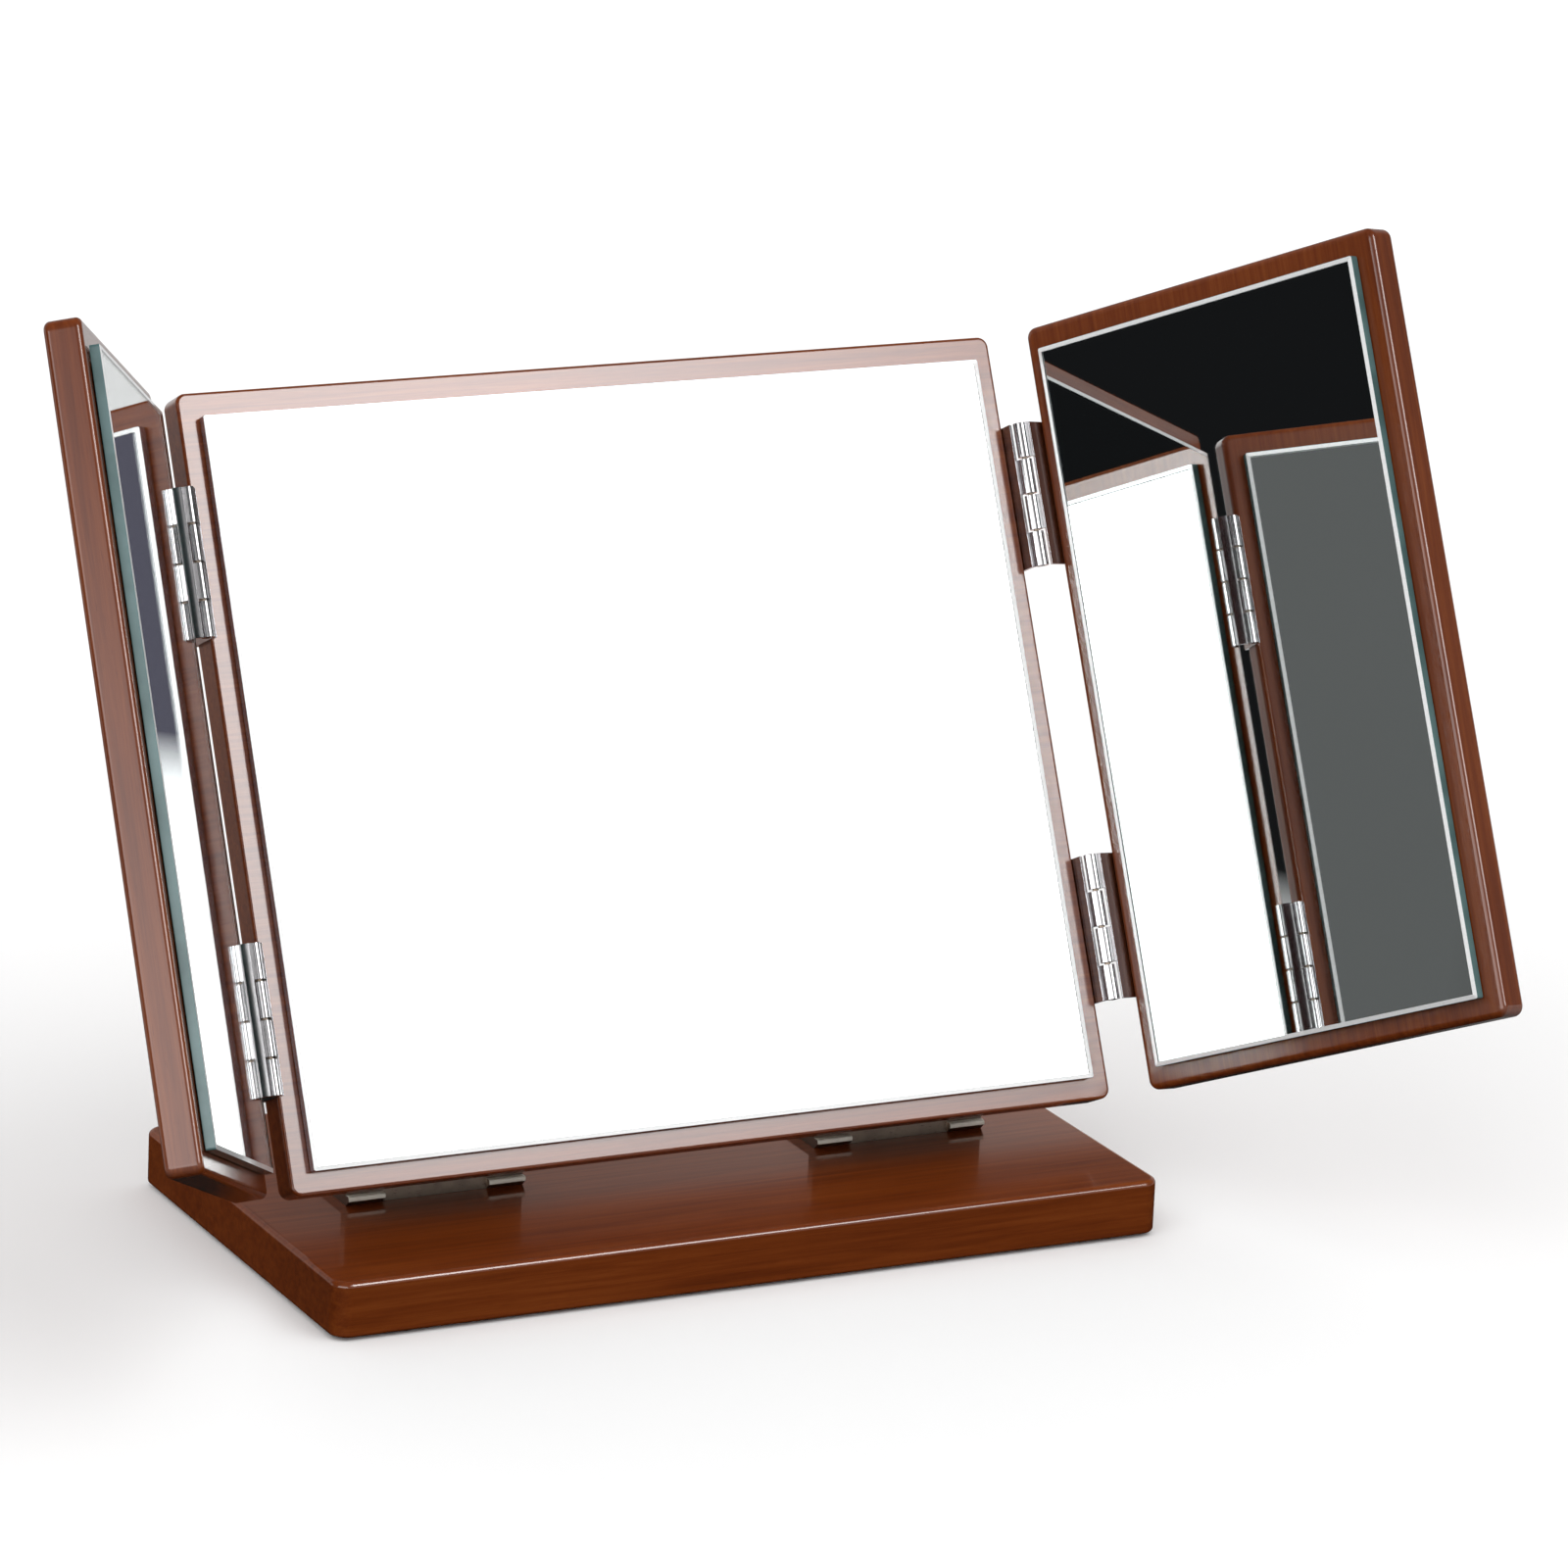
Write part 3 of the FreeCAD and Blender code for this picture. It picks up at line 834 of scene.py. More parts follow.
@dataclass
class Board:
    """A lacquered board with rounded corners and eased edges, front face on y = 0."""

    name: str
    width: float
    height: float
    thickness: float
    corner: float
    front_arris: float
    back_arris: float
    place: Matrix
    finish: LacqueredWood = field(default_factory=LacqueredWood)
    grain_turn: float = 0.0
    steps: int = 7

    def build(self) -> Piece:
        """Makes the board's mesh and dresses it.

        Returns:
            The finished piece.
        """
        front = arc((self.front_arris, self.front_arris), self.front_arris, 270, 180, self.steps)
        back = arc((self.back_arris, self.thickness - self.back_arris), self.back_arris, 180, 90, self.steps)
        mesh = lofted(slab_loops(self.width, self.height, self.corner, front + back, self.steps))
        material = self.finish.made(self.name + "_finish", self.place @ turned(self.grain_turn, "Y"))
        return finished(mesh, self.name, self.place, [material])


@dataclass
class MirrorSheet:
    """A sheet of glass with a narrow polished bevel round its front and its silvering set in from the sides."""

    name: str
    width: float
    board_height: float
    place: Matrix
    rail_side: float = 6.0
    rail_top: float = 7.0
    rail_bottom: float = 6.0
    tape: float = 0.4
    thickness: float = 2.8
    bevel_width: float = 1.3
    bevel_depth: float = 0.2
    seam: float = 0.08
    corner: float = 0.6
    steps: int = 3
    rim: float = 0.9
    silver_depth: float = 0.6
    side_slot: int = 2
    bevel_slot: int = 1
    silver_slot: int = 3

    def build(self, finishes: Sequence[Material]) -> Piece:
        """Makes the sheet.

        Args:
            finishes: those of the face, the bevel, the sides and the silvered back.

        Returns:
            The finished piece.
        """
        face = -self.tape - self.thickness
        foot = face + self.bevel_depth
        profile = ((self.rim, face + self.silver_depth), (self.rim, -self.tape), (0.0, -self.tape),
                   (0.0, foot + self.seam), (self.seam, foot), (self.bevel_width, face))
        width = self.width - 2 * self.rail_side
        height = self.board_height - self.rail_top - self.rail_bottom
        loops = slab_loops(width, height, self.corner, profile, self.steps, self.rail_bottom)
        mesh = lofted(loops, [self.side_slot] * 4 + [self.bevel_slot], (self.silver_slot, 0))
        return finished(mesh, self.name, self.place, finishes, smooth=False)


# ---- metalwork


@dataclass(frozen=True)
class ScrewShape:
    """An oval-head countersunk wood screw with a cross recess; its axis is z and its head is up."""

    radius: float
    length: float
    head_ratio: float = 1.85
    head_depth_ratio: float = 0.85
    dome_ratio: float = 0.18
    dome_shares: tuple[float, ...] = (0.35, 0.7, 0.9, 1.0)
    rim_ratio: float = 0.04
    tip_ratio: float = 3.0
    recess_width: float = 0.28
    recess_span: float = 1.2
    recess_depth: float = 0.8
    recess_floor: float = 0.35
    recess_mouth: float = 1.15
    recess_taper: float = 0.4
    cutter_rise: float = 0.5
    steps: int = 28

    def master(self) -> Piece:
        """Makes one screw at the origin, in metres."""
        head, dome = self.head_ratio * self.radius, self.dome_ratio * self.radius
        rim = self.rim_ratio * head
        domed = [(head * share - rim, dome * (1 - share ** 2) + rim * share) for share in self.dome_shares]
        profile = [(0.0, dome), *domed, (head, 0.0), (self.radius, -self.head_depth_ratio * self.radius),
                   (self.radius, self.tip_ratio * self.radius - self.length), (0.0, -self.length)]
        screw = finished(revolved(profile, self.steps), "screw_master", AT_ORIGIN, [])
        combined(screw, "DIFFERENCE", self._recess(head, dome))
        shade_smooth(screw)
        return screw

    def _recess(self, head: float, dome: float) -> Piece:
        """The tapered cross that is cut into the head."""
        bottom = dome - self.recess_depth * self.head_depth_ratio * self.radius
        top = 2 * dome + self.cutter_rise * head
        span, width = self.recess_span * head / 2, self.recess_width * head / 2
        levels = [(share * span, width * (1 - self.recess_taper * (1 - share)), height)
                  for share, height in ((self.recess_floor, bottom), (self.recess_mouth, top))]
        loops = [[Vector((x * reach, y * half, height)) for x, y in ((-1, -1), (1, -1), (1, 1), (-1, 1))]
                 for reach, half, height in levels]
        arms = [finished(lofted(loops), "recess_arm", turned(turn, "Z"), [], smooth=False) for turn in (0, 90)]
        combined(arms[0], "UNION", arms[1])
        return arms[0]


@dataclass
class ButtHinge:
    """One small hinge between the centre panel and a wing, as a pair of leaves, a pin and its screws."""

    side: Side
    level: str
    height: float
    places: Places
    rows: RowTree
    length: float = 41.4
    barrel: float = 1.9
    bore: float = 0.95
    knuckles: int = 4
    gap: float = 0.6
    leaf: float = 1.2
    back_margin: float = 0.8
    clearance: float = 0.5
    edge_softness: float = 0.12
    knuckle_rounding: float = 0.4
    seam_angle: float = 122.0
    seam_slant: float = 4.0
    throat_angle: float = 10.0
    edge_slope: float = 0.88
    pin_slack: float = 0.05
    pin_inset: float = 0.1
    pin_dome: float = 0.3
    pin_dome_turns: tuple[float, ...] = (1.2, 0.8, 0.4, 0.0)
    pin_steps: int = 24
    screw_margin: float = 6.7
    steps: int = 40

    @property
    def stem(self) -> str:
        """The start of this hinge's node names."""
        return f"{self.side.word}_{self.level}_hinge"

    @property
    def knuckle_length(self) -> float:
        """The length of one knuckle."""
        return (self.length - (self.knuckles - 1) * self.gap) / self.knuckles

    @property
    def faces(self) -> Point2:
        """Where a leaf's outer and inner faces lie, along its frame's x."""
        return -self.places.axis_out, self.leaf - self.places.axis_out

    def _place(self, owner: Owner) -> Matrix:
        """The leaf's frame: its own side of the hinge lies at negative x."""
        if owner is Owner.PANEL:
            place, away = self.places.hinge(self.side, self.height), self.side.value
        else:
            place, away = self.places.folded(self.side, self.height), -self.side.value
        return place @ Matrix.Diagonal((away, 1.0, 1.0, 1.0))

    def _curl(self) -> list[Point2]:
        """The outline of the sheet rolled round the pin, from the plate and back to it."""
        out, inner = self.faces
        web, seam = self._plate_front() + self.leaf / 2, 360 + self.seam_angle
        outside = arc((0.0, 0.0), self.barrel, 180, seam, self.steps)
        inside = arc((0.0, 0.0), self.bore, seam - self.seam_slant, 180 + self.throat_angle, self.steps)
        return [(out, web), *outside, *inside, (inner, web)]

    def _plate_front(self) -> float:
        """How far behind the hinge's axis a leaf's plate begins, clear of the other leaf's knuckles."""
        return math.sqrt(max((self.barrel + self.clearance) ** 2 - self.faces[1] ** 2, 0.0))

    def leaf_piece(self, owner: Owner, body: str) -> Piece:
        """Makes one leaf: its plate and the knuckles that it owns, rolled from the same sheet.

        Args:
            owner: the half of the hinge.
            body: the body that it rides on.

        Returns:
            The finished leaf.
        """
        place = self._place(owner)
        finish = BRIGHT_NICKEL.made(f"{self.stem}_{owner.value}_nickel", place)
        (out, inner), front = self.faces, self._plate_front()
        back = self.places.axis_forward + self.places.panel_thickness - self.back_margin
        outline = [(out, front - self.edge_slope), (inner, front), (inner, back), (out, back)]
        plate = finished(prism(outline, -self.length / 2, self.length / 2), "plate", place, [finish], smooth=False)
        bevelled(plate, self.edge_softness)
        curl = prism(self._curl(), 0.0, self.knuckle_length)
        master = bevelled(finished(curl, "knuckle_master", AT_ORIGIN, [], smooth=False), self.knuckle_rounding)
        pitch = self.knuckle_length + self.gap
        start = Vector((0.0, 0.0, (owner is Owner.WING) * pitch - self.length / 2))
        curls = self.rows.row(
            master, "knuckles", self.knuckles // 2, start, Vector((0.0, 0.0, 2 * pitch)), place, finish)
        bpy.data.objects.remove(master)
        leaf = joined([plate, curls], f"{self.stem}_{owner.value}_leaf_rolled")
        turn_outwards(leaf)
        return hand_over(leaf, body, "hinge_metal", f"{self.stem}_{owner.value}_leaf")

    def pin_piece(self, finish: Material, shank_painted_shade: Material) -> Piece:
        """Makes the pin, with a slightly domed end above and below the barrel.

        Args:
            finish: its ends' finish.
            shank_painted_shade: the dark finish of its shank, which shows between the knuckles: painted shade in
                those gaps.

        Returns:
            The finished pin.
        """
        radius, rise = self.bore - self.pin_slack, self.length / 2 - self.pin_inset
        dome = [(radius * math.cos(turn), rise + self.pin_dome * math.sin(turn)) for turn in self.pin_dome_turns]
        upper = [(0.0, rise + self.pin_dome), *dome]
        place = self.places.hinge(self.side, self.height)
        mesh = revolved(upper + [(r, -z) for r, z in reversed(upper)], self.pin_steps)
        pin = finished(mesh, self.stem + "_pin_domed", place, [finish, shank_painted_shade])
        axis = place.to_3x3() @ Vector((0.0, 0.0, 1.0))
        # The shank's sides get the dark finish: painted shade in the gaps between the knuckles.
        for face in pin.data.polygons:
            face.material_index = int(abs(face.normal.dot(axis)) < 0.1)
        return hand_over(pin, "centre", "hinge_metal", self.stem + "_pin")

    def screw_row(self, owner: Owner, master: Piece, finish: Material) -> Piece:
        """The leaf's three screws, not yet handed over."""
        middle = self.places.axis_forward + self.places.panel_thickness / 2
        reach = self.length / 2 - self.screw_margin
        facing = self._place(owner) @ shifted(self.faces[1], middle, -reach) @ turned(90, "Y")
        return self.rows.row(master, "hinge_screws", 3, NOWHERE, Vector((-reach, 0.0, 0.0)), facing, finish,
                             turn=ANY_TURN, seed=len(self.stem) + (owner is Owner.WING))


# ---- sub-assemblies


@dataclass
class Base:
    """The base board with its felt, and the two brackets that carry the centre panel."""

    places: Places
    rows: RowTree
    width: float = 250.0
    depth: float = 136.0
    thickness: float = 15.5
    corner: float = 5.0
    top_arris: float = 1.6
    bottom_arris: float = 1.0
    gloss_blur: float = 0.08
    felt: float = 1.0
    pin_softness: float = 0.5
    bracket_x: float = 71.5
    bracket_width: float = 53.0
    bracket_thickness: float = 3.0
    bracket_softness: float = 0.25
    toe_front: float = -17.3
    toe_search: float = 0.7
    toe_undercut: float = 5.6
    toe_setback: float = 3.7
    toe_lip: float = 1.75
    toe_facing: float = 0.7
    screw: ScrewShape = ScrewShape(radius=1.75, length=14.0)
    screw_margin: float = 8.5

    @property
    def top(self) -> float:
        """The height of the board's top."""
        return self.felt + self.thickness

    def build(self) -> None:
        """Makes every piece of the base."""
        face_up = Matrix(((1, 0, 0, 0), (0, 0, 1, -self.depth / 2 * MM), (0, -1, 0, self.top * MM), (0, 0, 0, 1)))
        board = Board("base_board_lacquered", self.width, self.depth, self.thickness, self.corner,
                      self.top_arris, self.bottom_arris, face_up, LacqueredWood(gloss_blur=self.gloss_blur))
        hand_over(board.build(), "base", "wood", "base_board")
        dress("base_felt", FELT.made("base_felt_finish"))
        # Satin nickel painted dark brown: painted shade on the brackets and washers, which sit under the panel.
        shade_painted_nickel = SHADE_PAINTED_NICKEL.made("bracket_satin_nickel")
        bright = BRIGHT_NICKEL.made("tilt_pin_nickel")
        # A pale finish: painted light on the faces of the toes' ends that catch the light.
        toe_painted_light = TOE_PAINTED_LIGHT.made("bracket_toe_zinc")
        for side in Side:
            bracket = self._bracket(side.word + "_tilt_bracket", shade_painted_nickel, toe_painted_light)
            hand_over(bracket, "base", "bracket_metal", side.word + "_tilt_bracket")
            pin = softened_node(side.word + "_tilt_pin", side.word + "_tilt_pin_domed", self.pin_softness, bright)
            hand_over(pin, "base", "bracket_metal", side.word + "_tilt_pin")
            dress(side.word + "_tilt_washers", shade_painted_nickel)
        self._screws()

    def _cut_back(self, mesh: Mesh) -> None:
        """Thins a bracket's toes to lips: their fronts move back a little, and what is under the lips far back."""
        hair = 0.01
        lip, foot = self.top + self.toe_lip, self.top + self.bracket_thickness
        bmesh.ops.bisect_plane(
            mesh, geom=[*mesh.verts, *mesh.edges, *mesh.faces], plane_co=(0.0, 0.0, lip), plane_no=(0.0, 0.0, 1.0))
        for vertex in mesh.verts:
            if abs(vertex.co.y - self.toe_front) < self.toe_search and vertex.co.z < foot + hair:
                vertex.co.y += self.toe_setback if vertex.co.z > lip - hair else self.toe_undercut

    def _bracket(self, node: str, shade_painted_nickel: Material, toe_painted_light: Material) -> Piece:
        """One bracket, with the ends of its toes cut back underneath, and the faces of those ends that face up and
        forward painted pale as painted light.

        Args:
            node: the bracket's node.
            shade_painted_nickel: the bracket's finish, satin nickel painted dark brown as painted shade.
            toe_painted_light: the pale finish on the tops and fronts of the toes' ends, painted light where they
                catch the light.

        Returns:
            The piece, not yet handed over.
        """
        bracket = softened_node(node, node + "_softened", self.bracket_softness, shade_painted_nickel, self._cut_back)
        bracket.data.materials.append(toe_painted_light)
        vertices = bracket.data.vertices
        foot = (self.top + self.bracket_thickness + 0.1) * MM
        end = (self.toe_front + self.toe_setback + 1.0) * MM
        # Faces on the toes' ends that face up or forward get the pale finish: painted light.
        for face in bracket.data.polygons:
            corners = [vertices[index].co for index in face.vertices]
            on_toe = max(point.z for point in corners) < foot and min(point.y for point in corners) < end
            if on_toe and max(face.normal.z, -face.normal.y) > self.toe_facing:
                face.material_index = 1
        return bracket

    def _screws(self) -> None:
        """Makes the bracket screws."""
        finish = SCREW_NICKEL.made("bracket_screw_nickel")
        master = self.screw.master()
        low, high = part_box("bracket_screws")
        reach = Vector((self.bracket_width / 2 - self.screw_margin, 0.0, 0.0))
        rows = []
        for side in Side:
            head = Matrix.Translation((side.value * self.bracket_x * MM, (low.y + high.y) / 2, high.z))
            rows.append(self.rows.row(master, "bracket_screw_row", 3, -reach, reach, head, finish,
                                      turn=ANY_TURN, seed=3 + side.value))
        bpy.data.objects.remove(master)
        hand_over(joined(rows, "bracket_screws_crossed"), "base", "screw_metal", "bracket_screws")


@dataclass
class MirrorPanel:
    """A lacquered panel with its mirror: the centre panel or a wing. Its body's name starts its nodes' names."""

    body: str
    width: float
    height: float
    thickness: float
    place: Matrix
    arris: float
    grain_turn: float = 0.0
    silver_depth: float = 0.6
    corner: float = 3.0

    def build(self, glass: Sequence[Material]) -> None:
        """Makes the panel, its mirror and the tape between them.

        Args:
            glass: the finishes of the mirror's face, bevel, sides and silvered back.
        """
        board = Board(self.body + "_panel_lacquered", self.width, self.height, self.thickness, self.corner,
                      self.arris, self.arris, self.place, grain_turn=self.grain_turn)
        hand_over(board.build(), self.body, "wood", self.body + "_panel")
        sheet = MirrorSheet(self.body + "_mirror_bevelled", self.width, self.height, self.place,
                            silver_depth=self.silver_depth)
        hand_over(sheet.build(glass), self.body, "mirror_glass", self.body + "_mirror_glass")
        dress(self.body + "_mirror_tape", FOAM_TAPE.made(self.body + "_tape_finish"))


@dataclass
class TiltLeaves:
    """The tilt hinges' leaves on the centre panel's back, with their screws."""

    places: Places
    rows: RowTree
    softness: float = 0.25
    x: float = 71.5
    thickness: float = 3.0
    screw: ScrewShape = ScrewShape(radius=1.5, length=9.5)
    screw_reach: float = 8.5
    screw_low: float = 32.1
    screw_high: float = 46.6

    def build(self) -> None:
        """Makes both leaves."""
        place = self.places.centre()
        # Satin nickel painted dark brown: painted shade.
        shade_painted_nickel = SHADE_PAINTED_NICKEL.made("tilt_leaf_satin_nickel", place)
        for side in Side:
            node = side.word + "_tilt_leaf"
            hand_over(softened_node(node, node + "_softened", self.softness, shade_painted_nickel), "centre", "bracket_metal", node)
        self._screws(place)

    def _screws(self, place: Matrix) -> None:
        """Makes the leaves' screws, in two rows on each leaf."""
        finish = SCREW_NICKEL.made("tilt_leaf_screw_nickel")
        master = self.screw.master()
        back = self.places.panel_thickness + self.thickness
        step = Vector((0.0, self.screw_low - self.screw_high, 0.0))
        rows = []
        for side in Side:
            for x in (-self.screw_reach, self.screw_reach):
                facing = place @ shifted(side.value * self.x + x, back, self.screw_low) @ turned(-90, "X")
                rows.append(self.rows.row(
                    master, "leaf_screw_row", 2, NOWHERE, step, facing, finish, turn=ANY_TURN, seed=len(rows)))
        bpy.data.objects.remove(master)
        hand_over(joined(rows, "tilt_leaf_screws_crossed"), "centre", "screw_metal", "tilt_leaf_screws")


@dataclass
class WingHinges:
    """The four small hinges that join the wings to the centre panel."""

    places: Places
    rows: RowTree
    from_end: float = 47.6
    screw: ScrewShape = ScrewShape(radius=1.1, length=10.0)

    def build(self) -> None:
        """Makes every leaf, pin and screw of the four hinges."""
        pin_finish = BRIGHT_NICKEL.made("hinge_pin_nickel")
        # Dark finish for the pin shanks: painted shade in the gaps between the knuckles.
        shank_shade_finish = SHADE_PAINTED_NICKEL.made("hinge_pin_oiled")
        screw_finish = SCREW_NICKEL.made("hinge_screw_nickel")
        master = self.screw.master()
        heights = {"lower": self.from_end, "upper": self.places.panel_height - self.from_end}
        centre_screws = []
        for side in Side:
            wing_screws = []
            for level, height in heights.items():
                hinge = ButtHinge(side, level, height, self.places, self.rows)
                hinge.leaf_piece(Owner.PANEL, "centre")
                hinge.leaf_piece(Owner.WING, side.word + "_wing")
                hinge.pin_piece(pin_finish, shank_shade_finish)
                centre_screws.append(hinge.screw_row(Owner.PANEL, master, screw_finish))
                wing_screws.append(hinge.screw_row(Owner.WING, master, screw_finish))
            self._hand_over_screws(wing_screws, side.word + "_wing_hinge_screws", side.word + "_wing")
        self._hand_over_screws(centre_screws, "centre_hinge_screws", "centre")
        bpy.data.objects.remove(master)

    @staticmethod
    def _hand_over_screws(rows: Sequence[Piece], node: str, body: str) -> None:
        """Joins rows of screws into one piece and hands it over."""
        screws = joined(rows, node + "_crossed")
        turn_outwards(screws)
        hand_over(screws, body, "screw_metal", node)


CENTRE_ARRIS = 0.9
WING_ARRIS = 1.8
WING_SILVER_DEPTHS = {Side.LEFT: 2.4, Side.RIGHT: 0.6}


# ---- studio


def direction(azimuth: float, elevation: float) -> Vector:
    """The way from the object toward a part of its surroundings."""
    turn, rise = math.radians(azimuth), math.radians(elevation)
    return Vector((math.sin(turn) * math.cos(rise), -math.cos(turn) * math.cos(rise), math.sin(rise)))


def put_up(name: str, rows: Grid, tint: Colour, brightness: float, in_mirrors: bool = True) -> None:
    """Stages a sheet that only reflections see.

    Args:
        name: its name.
        rows: its grid of points, each with its cover: how far it hides what lies behind it, from 0 to 1.
        tint: its colour.
        brightness: how bright it looks.
        in_mirrors: whether the mirrors show it too, through their glass.
    """
    width = len(rows[0])
    corners = [row * width + column for row in range(len(rows) - 1) for column in range(width - 1)]
    faces = [(corner, corner + 1, corner + width + 1, corner + width) for corner in corners]
    mesh = bpy.data.meshes.new(name)
    mesh.from_pydata([point for row in rows for point, _ in row], [], faces)
    cover = mesh.attributes.new("cover", "FLOAT", "POINT")
    cover.data.foreach_set("value", [share for row in rows for _, share in row])
    shader = Shader(name + "_face")
    light = shader.node("ShaderNodeEmission", None, {"Color": tint, "Strength": brightness})
    clear = shader.node("ShaderNodeBsdfTransparent")
    covered = shader.value("ShaderNodeAttribute", {"attribute_name": "cover"}, output="Fac")
    scattered = shader.value("ShaderNodeLightPath", output="Diffuse Depth")
    shown = covered * (1.0 - scattered).clamped()
    mixed = shader.node("ShaderNodeMixShader", None, {0: shown, 1: clear.outputs[0], 2: light.outputs[0]})
    shader.feed(shader.output.inputs["Surface"], mixed.outputs[0])
    mesh.materials.append(shader.material)
    board = in_scene(name, mesh)
    board.visible_camera = False
    board.visible_diffuse = False
    board.visible_shadow = False
    board.visible_transmission = in_mirrors


@dataclass(frozen=True)
class ViewPoint:
    """The camera, by the direction that it looks from and the picture that it makes."""

    azimuth: float = -26.2439
    elevation: float = 14.7321
    roll: float = 2.2620
    distance: float = 2010.11
    target: tuple[float, float, float] = (-11.433, 0.0, 180.435)
    focal_pixels: float = 7527.03
    centre_x: float = 650.0
    centre_y: float = 600.0
    picture: float = 1600.0
    sensor: float = 36.0
    nearest: float = 0.05
    farthest: float = 100.0

    def build(self) -> None:
        """Makes the scene's camera."""
        data = bpy.data.cameras.new("camera")
        data.sensor_width = self.sensor
        data.lens = self.focal_pixels * self.sensor / self.picture
        data.shift_x = (self.picture / 2 - self.centre_x) / self.picture
        data.shift_y = (self.centre_y - self.picture / 2) / self.picture
        data.clip_start, data.clip_end = self.nearest, self.farthest
        back = direction(self.azimuth, self.elevation)
        right = (-back).cross(Vector((0.0, 0.0, 1.0))).normalized()
        turn = Matrix((right, back.cross(right), back)).transposed().to_4x4() @ turned(self.roll, "Z")
        camera = in_scene("camera", data)
        camera.matrix_world = Matrix.Translation((Vector(self.target) + back * self.distance) * MM) @ turn
        bpy.context.scene.camera = camera


@dataclass(frozen=True)
class Card:
    """A large far card that only reflections see, by the part of the surroundings that it fills, in degrees."""

    name: str
    azimuths: Point2
    elevations: Point2
    brightness: float
    tint: Colour = (1.0, 1.0, 1.0)
    side_fades: Point2 = (1.0, 1.0)
    top_fade: float = 1.0
    bottom_fade: float = 1.0
    distance: float = 9.0
    middle: float = 0.15
    step: float = 1.0

    @staticmethod
    def _cover(value: float, ends: Point2, fades: Point2) -> float:
        """How far inside its soft rim a place is: 0 at the rim, 1 inside the fade."""
        share = max(min((value - ends[0]) / fades[0], (ends[1] - value) / fades[1], 1.0), 0.0)
        return share ** 2 * (3 - 2 * share)

    def _stops(self, ends: Point2) -> list[float]:
        """Evenly spaced angles from one end to the other."""
        count = max(2, math.ceil((ends[1] - ends[0]) / self.step))
        return [ends[0] + (ends[1] - ends[0]) * index / count for index in range(count + 1)]

    def build(self) -> None:
        """Puts the card up, as a patch of a sphere round the object's middle that fades out at its rim."""
        middle = Vector((0.0, 0.0, self.middle))
        rows = [
            [(direction(azimuth, elevation) * self.distance + middle,
              self._cover(azimuth, self.azimuths, self.side_fades)
              * self._cover(elevation, self.elevations, (self.bottom_fade, self.top_fade)))
             for azimuth in self._stops(self.azimuths)]
            for elevation in self._stops(self.elevations)]
        put_up(self.name, rows, self.tint, self.brightness)


@dataclass(frozen=True)
class Mat:
    """A dark mat on the ground that only the object's gloss shows.

    Each ring holds its radius, its cover, how far the bare sector clears it and the least cover in the dark sector.
    Each sector holds its azimuth, and the cosine at its rim and how much that grows until the sector is full.
    """

    rings: Sequence[tuple[float, float, float, float]] = (
        (0.05, 1.0, 1.0, 1.0), (0.24, 1.0, 1.0, 1.0), (0.384, 0.4, 1.0, 1.0), (0.576, 0.4, 0.0, 1.0),
        (1.1, 0.4, 0.0, 0.65), (3.0, 0.4, 0.0, 0.0), (4.0, 0.0, 0.0, 0.0))
    bare: tuple[float, float, float] = (150.0, 0.6, 0.25)
    dark: tuple[float, float, float] = (-153.0, 0.75, 0.15)
    height: float = 0.0004
    brightness: float = 0.012
    tint: Colour = (1.0, 0.9, 0.85)
    steps: int = 64

    @staticmethod
    def _inside(way: Vector, sector: tuple[float, float, float]) -> float:
        """How far inside a sector a direction points, from 0 to 1."""
        azimuth, rim, fade = sector
        return min(max((way.dot(direction(azimuth, 0.0)) - rim) / fade, 0.0), 1.0)

    def build(self) -> None:
        """Lays the mat."""
        ways = [Vector((x, y, 0.0)) for x, y in arc((0.0, 0.0), 1.0, 0, 360, self.steps)]
        covers = [(way, self._inside(way, self.bare), self._inside(way, self.dark)) for way in ways]
        lift = Vector((0.0, 0.0, self.height))
        rows = [
            [(way * radius + lift, max(share * (1.0 - cleared * bare), kept * dark)) for way, bare, dark in covers]
            for radius, share, cleared, kept in self.rings]
        put_up("mat", rows, self.tint, self.brightness, in_mirrors=False)


@dataclass(frozen=True)
class Screen:
    """A low pale screen behind the object that only its gloss shows, with a level top and a paler right end."""

    places: Sequence[Point2] = ((-0.6, 0.0), (-0.3, 0.42), (0.0, 0.40), (0.28, 1.0), (0.6, 1.0), (0.8, 0.0))
    levels: Sequence[Point2] = ((0.0, 1.0), (0.125, 1.0), (0.131, 0.0))
    distance: float = 0.25
    brightness: float = 0.76
    tint: Colour = (1.0, 0.69, 0.60)

    def build(self) -> None:
        """Stands the screen up; its cover at each (x, cover) place is that times its (height, cover) level's."""
        rows = [[(Vector((x, self.distance, height)), level * share) for x, share in self.places]
                for height, level in self.levels]
        put_up("screen", rows, self.tint, self.brightness, in_mirrors=False)


@dataclass(frozen=True)
class Lamp:
    """A soft distant lamp that no reflection shows."""

    name: str
    azimuth: float
    elevation: float
    strength: float
    softness: float = 50.0

    def build(self) -> None:
        """Hangs the lamp."""
        data = bpy.data.lights.new(self.name, "SUN")
        data.energy = self.strength
        data.angle = math.radians(self.softness)
        lamp = in_scene(self.name, data)
        lamp.rotation_mode = "QUATERNION"
        lamp.rotation_quaternion = direction(self.azimuth, self.elevation).to_track_quat("Z", "Y")
        lamp.visible_glossy = False
        lamp.visible_transmission = False


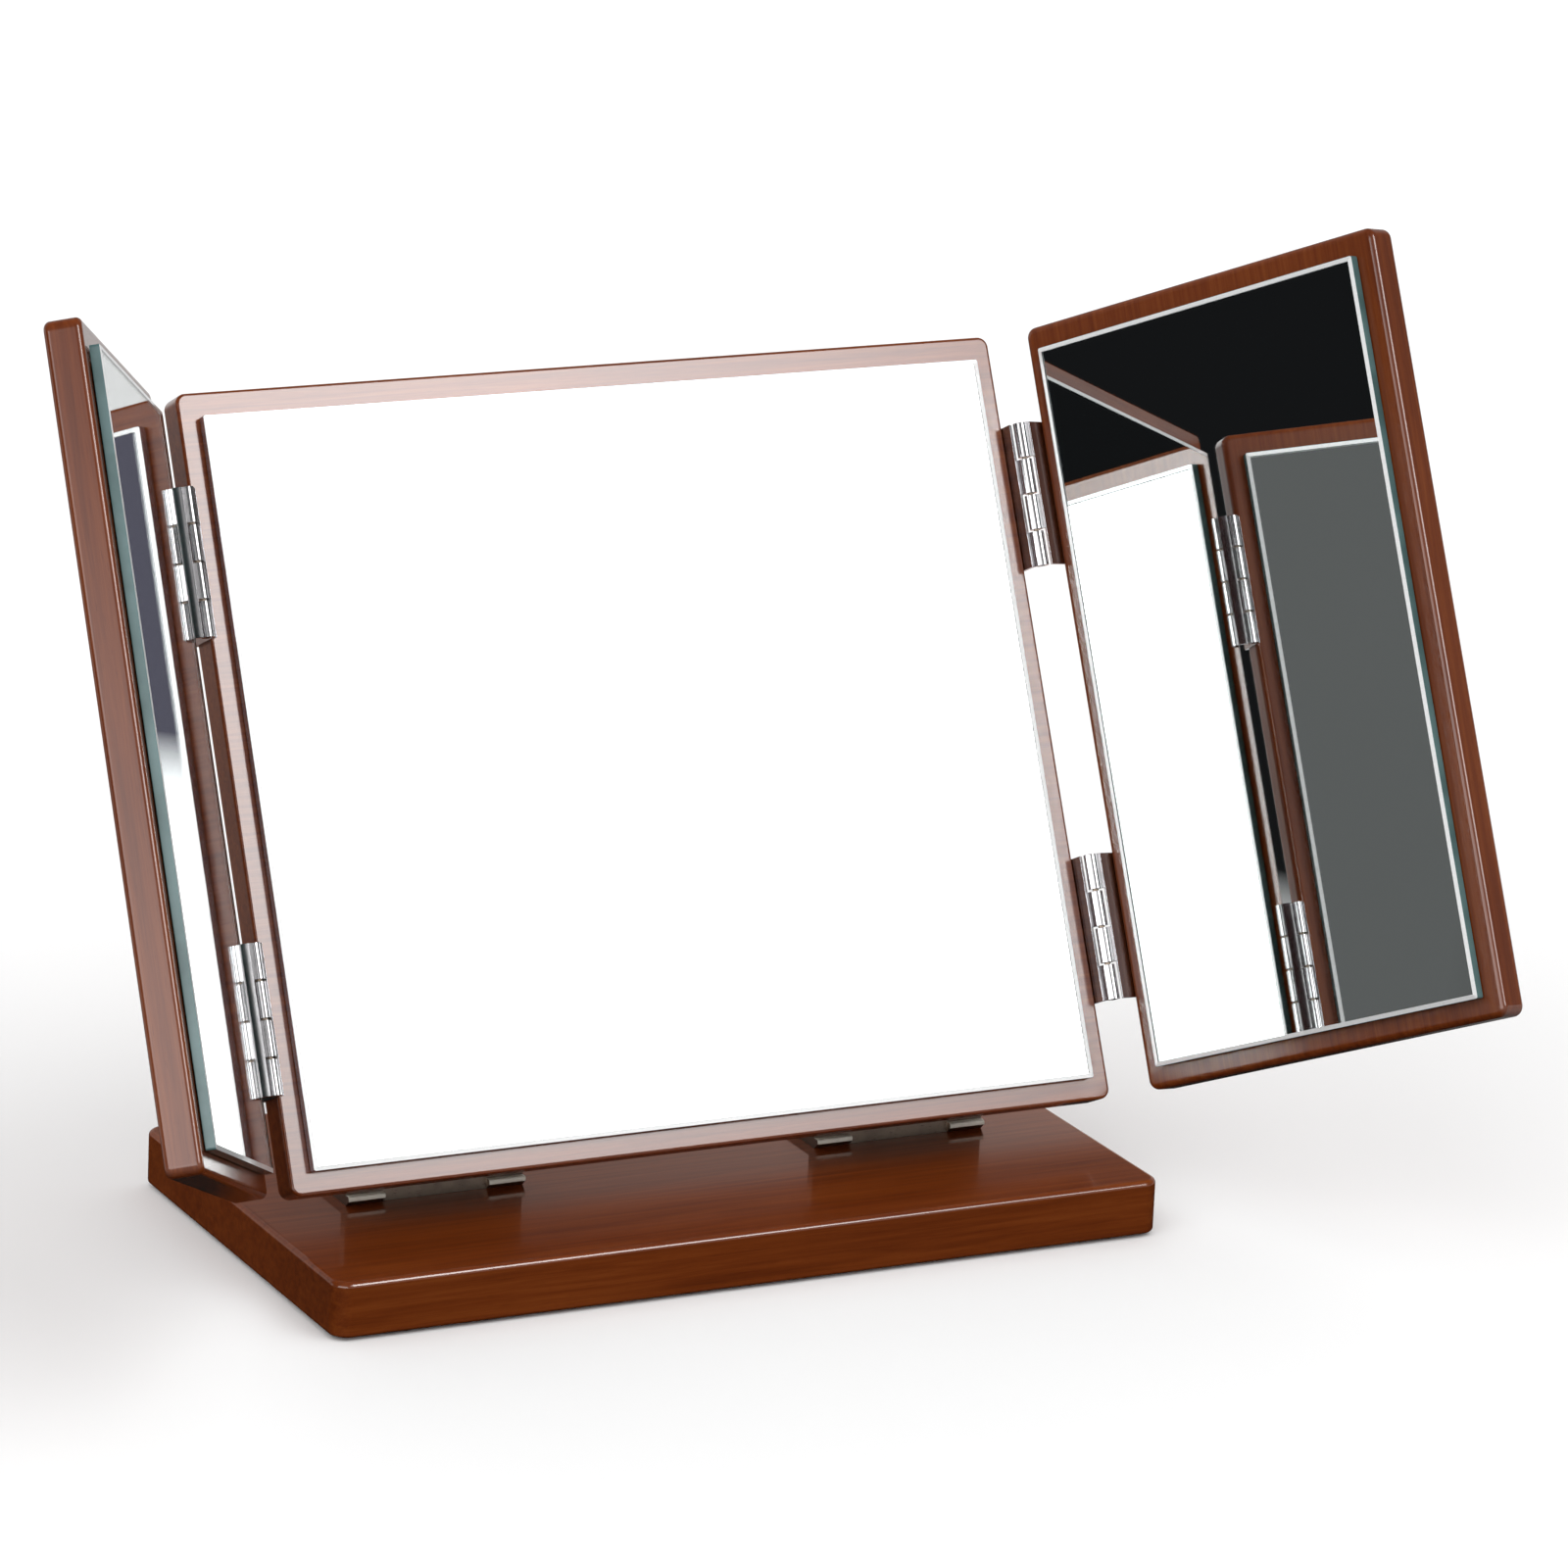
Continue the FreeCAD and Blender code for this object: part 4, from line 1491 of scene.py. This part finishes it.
@dataclass(frozen=True)
class Floor:
    """A wide pale floor that keeps the object's shadow and gives little of its light back to the object."""

    size: float = 60.0
    white: float = 0.95
    bounce: float = 0.12

    def build(self) -> None:
        """Lays the floor."""
        half = self.size / 2
        mesh = bpy.data.meshes.new("floor")
        mesh.from_pydata([(-half, -half, 0), (half, -half, 0), (half, half, 0), (-half, half, 0)], [], [(0, 1, 2, 3)])
        shader = Shader("floor_paper")
        shade = shader.mix(shader.seen(), (self.bounce,) * 3, (self.white,) * 3)
        mesh.materials.append(shader.set(Base_Color=shade, Roughness=1.0, Specular_IOR_Level=0.0))
        floor = in_scene("floor", mesh)


@dataclass(frozen=True)
class World:
    """White to the camera and to reflections, and a plain soft light to everything else."""

    ambient: float = 0.86

    def build(self) -> None:
        """Makes the scene's world."""
        world = bpy.data.worlds.new("studio")
        world.use_nodes = True
        graph = Graph(world.node_tree)
        soft, white = (graph.node("ShaderNodeBackground", None, {"Color": (1.0, 1.0, 1.0), "Strength": strength})
                       for strength in (self.ambient, 1.0))
        mixed = graph.node("ShaderNodeMixShader", None, {0: graph.seen(), 1: soft.outputs[0], 2: white.outputs[0]})
        graph.node("ShaderNodeOutputWorld", None, {"Surface": mixed.outputs[0]})
        bpy.context.scene.world = world


STUDIO = (
    Floor(),
    Mat(),
    Screen(),
    World(),
    Lamp("key_lamp", azimuth=30.0, elevation=50.0, strength=0.7),
    Lamp("fill_lamp", azimuth=-55.0, elevation=35.0, strength=0.7),
    Card("softbox_core", (20.6, 40.0), (22.0, 52.0), 16.0, side_fades=(1.5, 10.0), bottom_fade=6.4, distance=8.0),
    Card("softbox", (4.0, 39.0), (22.5, 48.0), 2.8, bottom_fade=2.0, distance=8.5),
    Card("softbox_foot", (36.0, 46.0), (22.5, 28.0), 2.8, distance=8.5),
    Card("navy_flag", (37.0, 46.5), (25.0, 50.0), 0.12, tint=(0.95, 0.90, 1.20)),
    Card("grey_flag", (45.0, 112.0), (3.0, 50.0), 0.12),
    Card("left_light", (-78.0, -12.0), (0.0, 32.0), 4.2, side_fades=(8.0, 8.0), top_fade=8.0),
    Card("left_flag", (-112.0, -78.0), (-1.5, 45.0), 0.008, tint=(0.95, 1.0, 1.08)),
    Card("back_flag", (143.0, 166.0), (0.5, 45.0), 0.015, side_fades=(2.0, 2.0)),
    Card("back_room", (112.0, 225.0), (0.5, 50.0), 0.30, distance=9.5),
    Card("room", (-180.0, 180.0), (14.0, 90.0), 0.09, side_fades=(0.01, 0.01), top_fade=0.01, distance=10.0),
)


def main() -> None:
    """Builds the mirror round the frame, then the studio."""
    logging.basicConfig(level=logging.INFO, format="%(name)s: %(message)s")
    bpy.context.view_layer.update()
    ViewPoint().build()
    places, rows = Places(), RowTree()
    face, bevel = CLEAR_GLASS.made("mirror_face"), BEVEL_PAINTED_GLINT.made("mirror_bevel")
    edge, silver = GLASS_EDGE.made("mirror_edge"), SILVERING.made("mirror_silver")
    height, thickness = places.panel_height, places.panel_thickness
    Base(places, rows).build()
    centre = MirrorPanel("centre", places.panel_width, height, thickness, places.centre(), CENTRE_ARRIS)
    centre.build((face, bevel, CENTRE_EDGE_PAINTED_GLOW.made("centre_mirror_edge"), silver))
    TiltLeaves(places, rows).build()
    for side in Side:
        wing = MirrorPanel(side.word + "_wing", places.wing_width, height, thickness, places.wing(side), WING_ARRIS,
                           grain_turn=90.0, silver_depth=WING_SILVER_DEPTHS[side])
        wing.build((face, bevel, edge, silver))
    WingHinges(places, rows).build()
    for thing in STUDIO:
        thing.build()
    bpy.context.scene.view_settings.view_transform = "Standard"


if __name__ == "__main__":
    main()
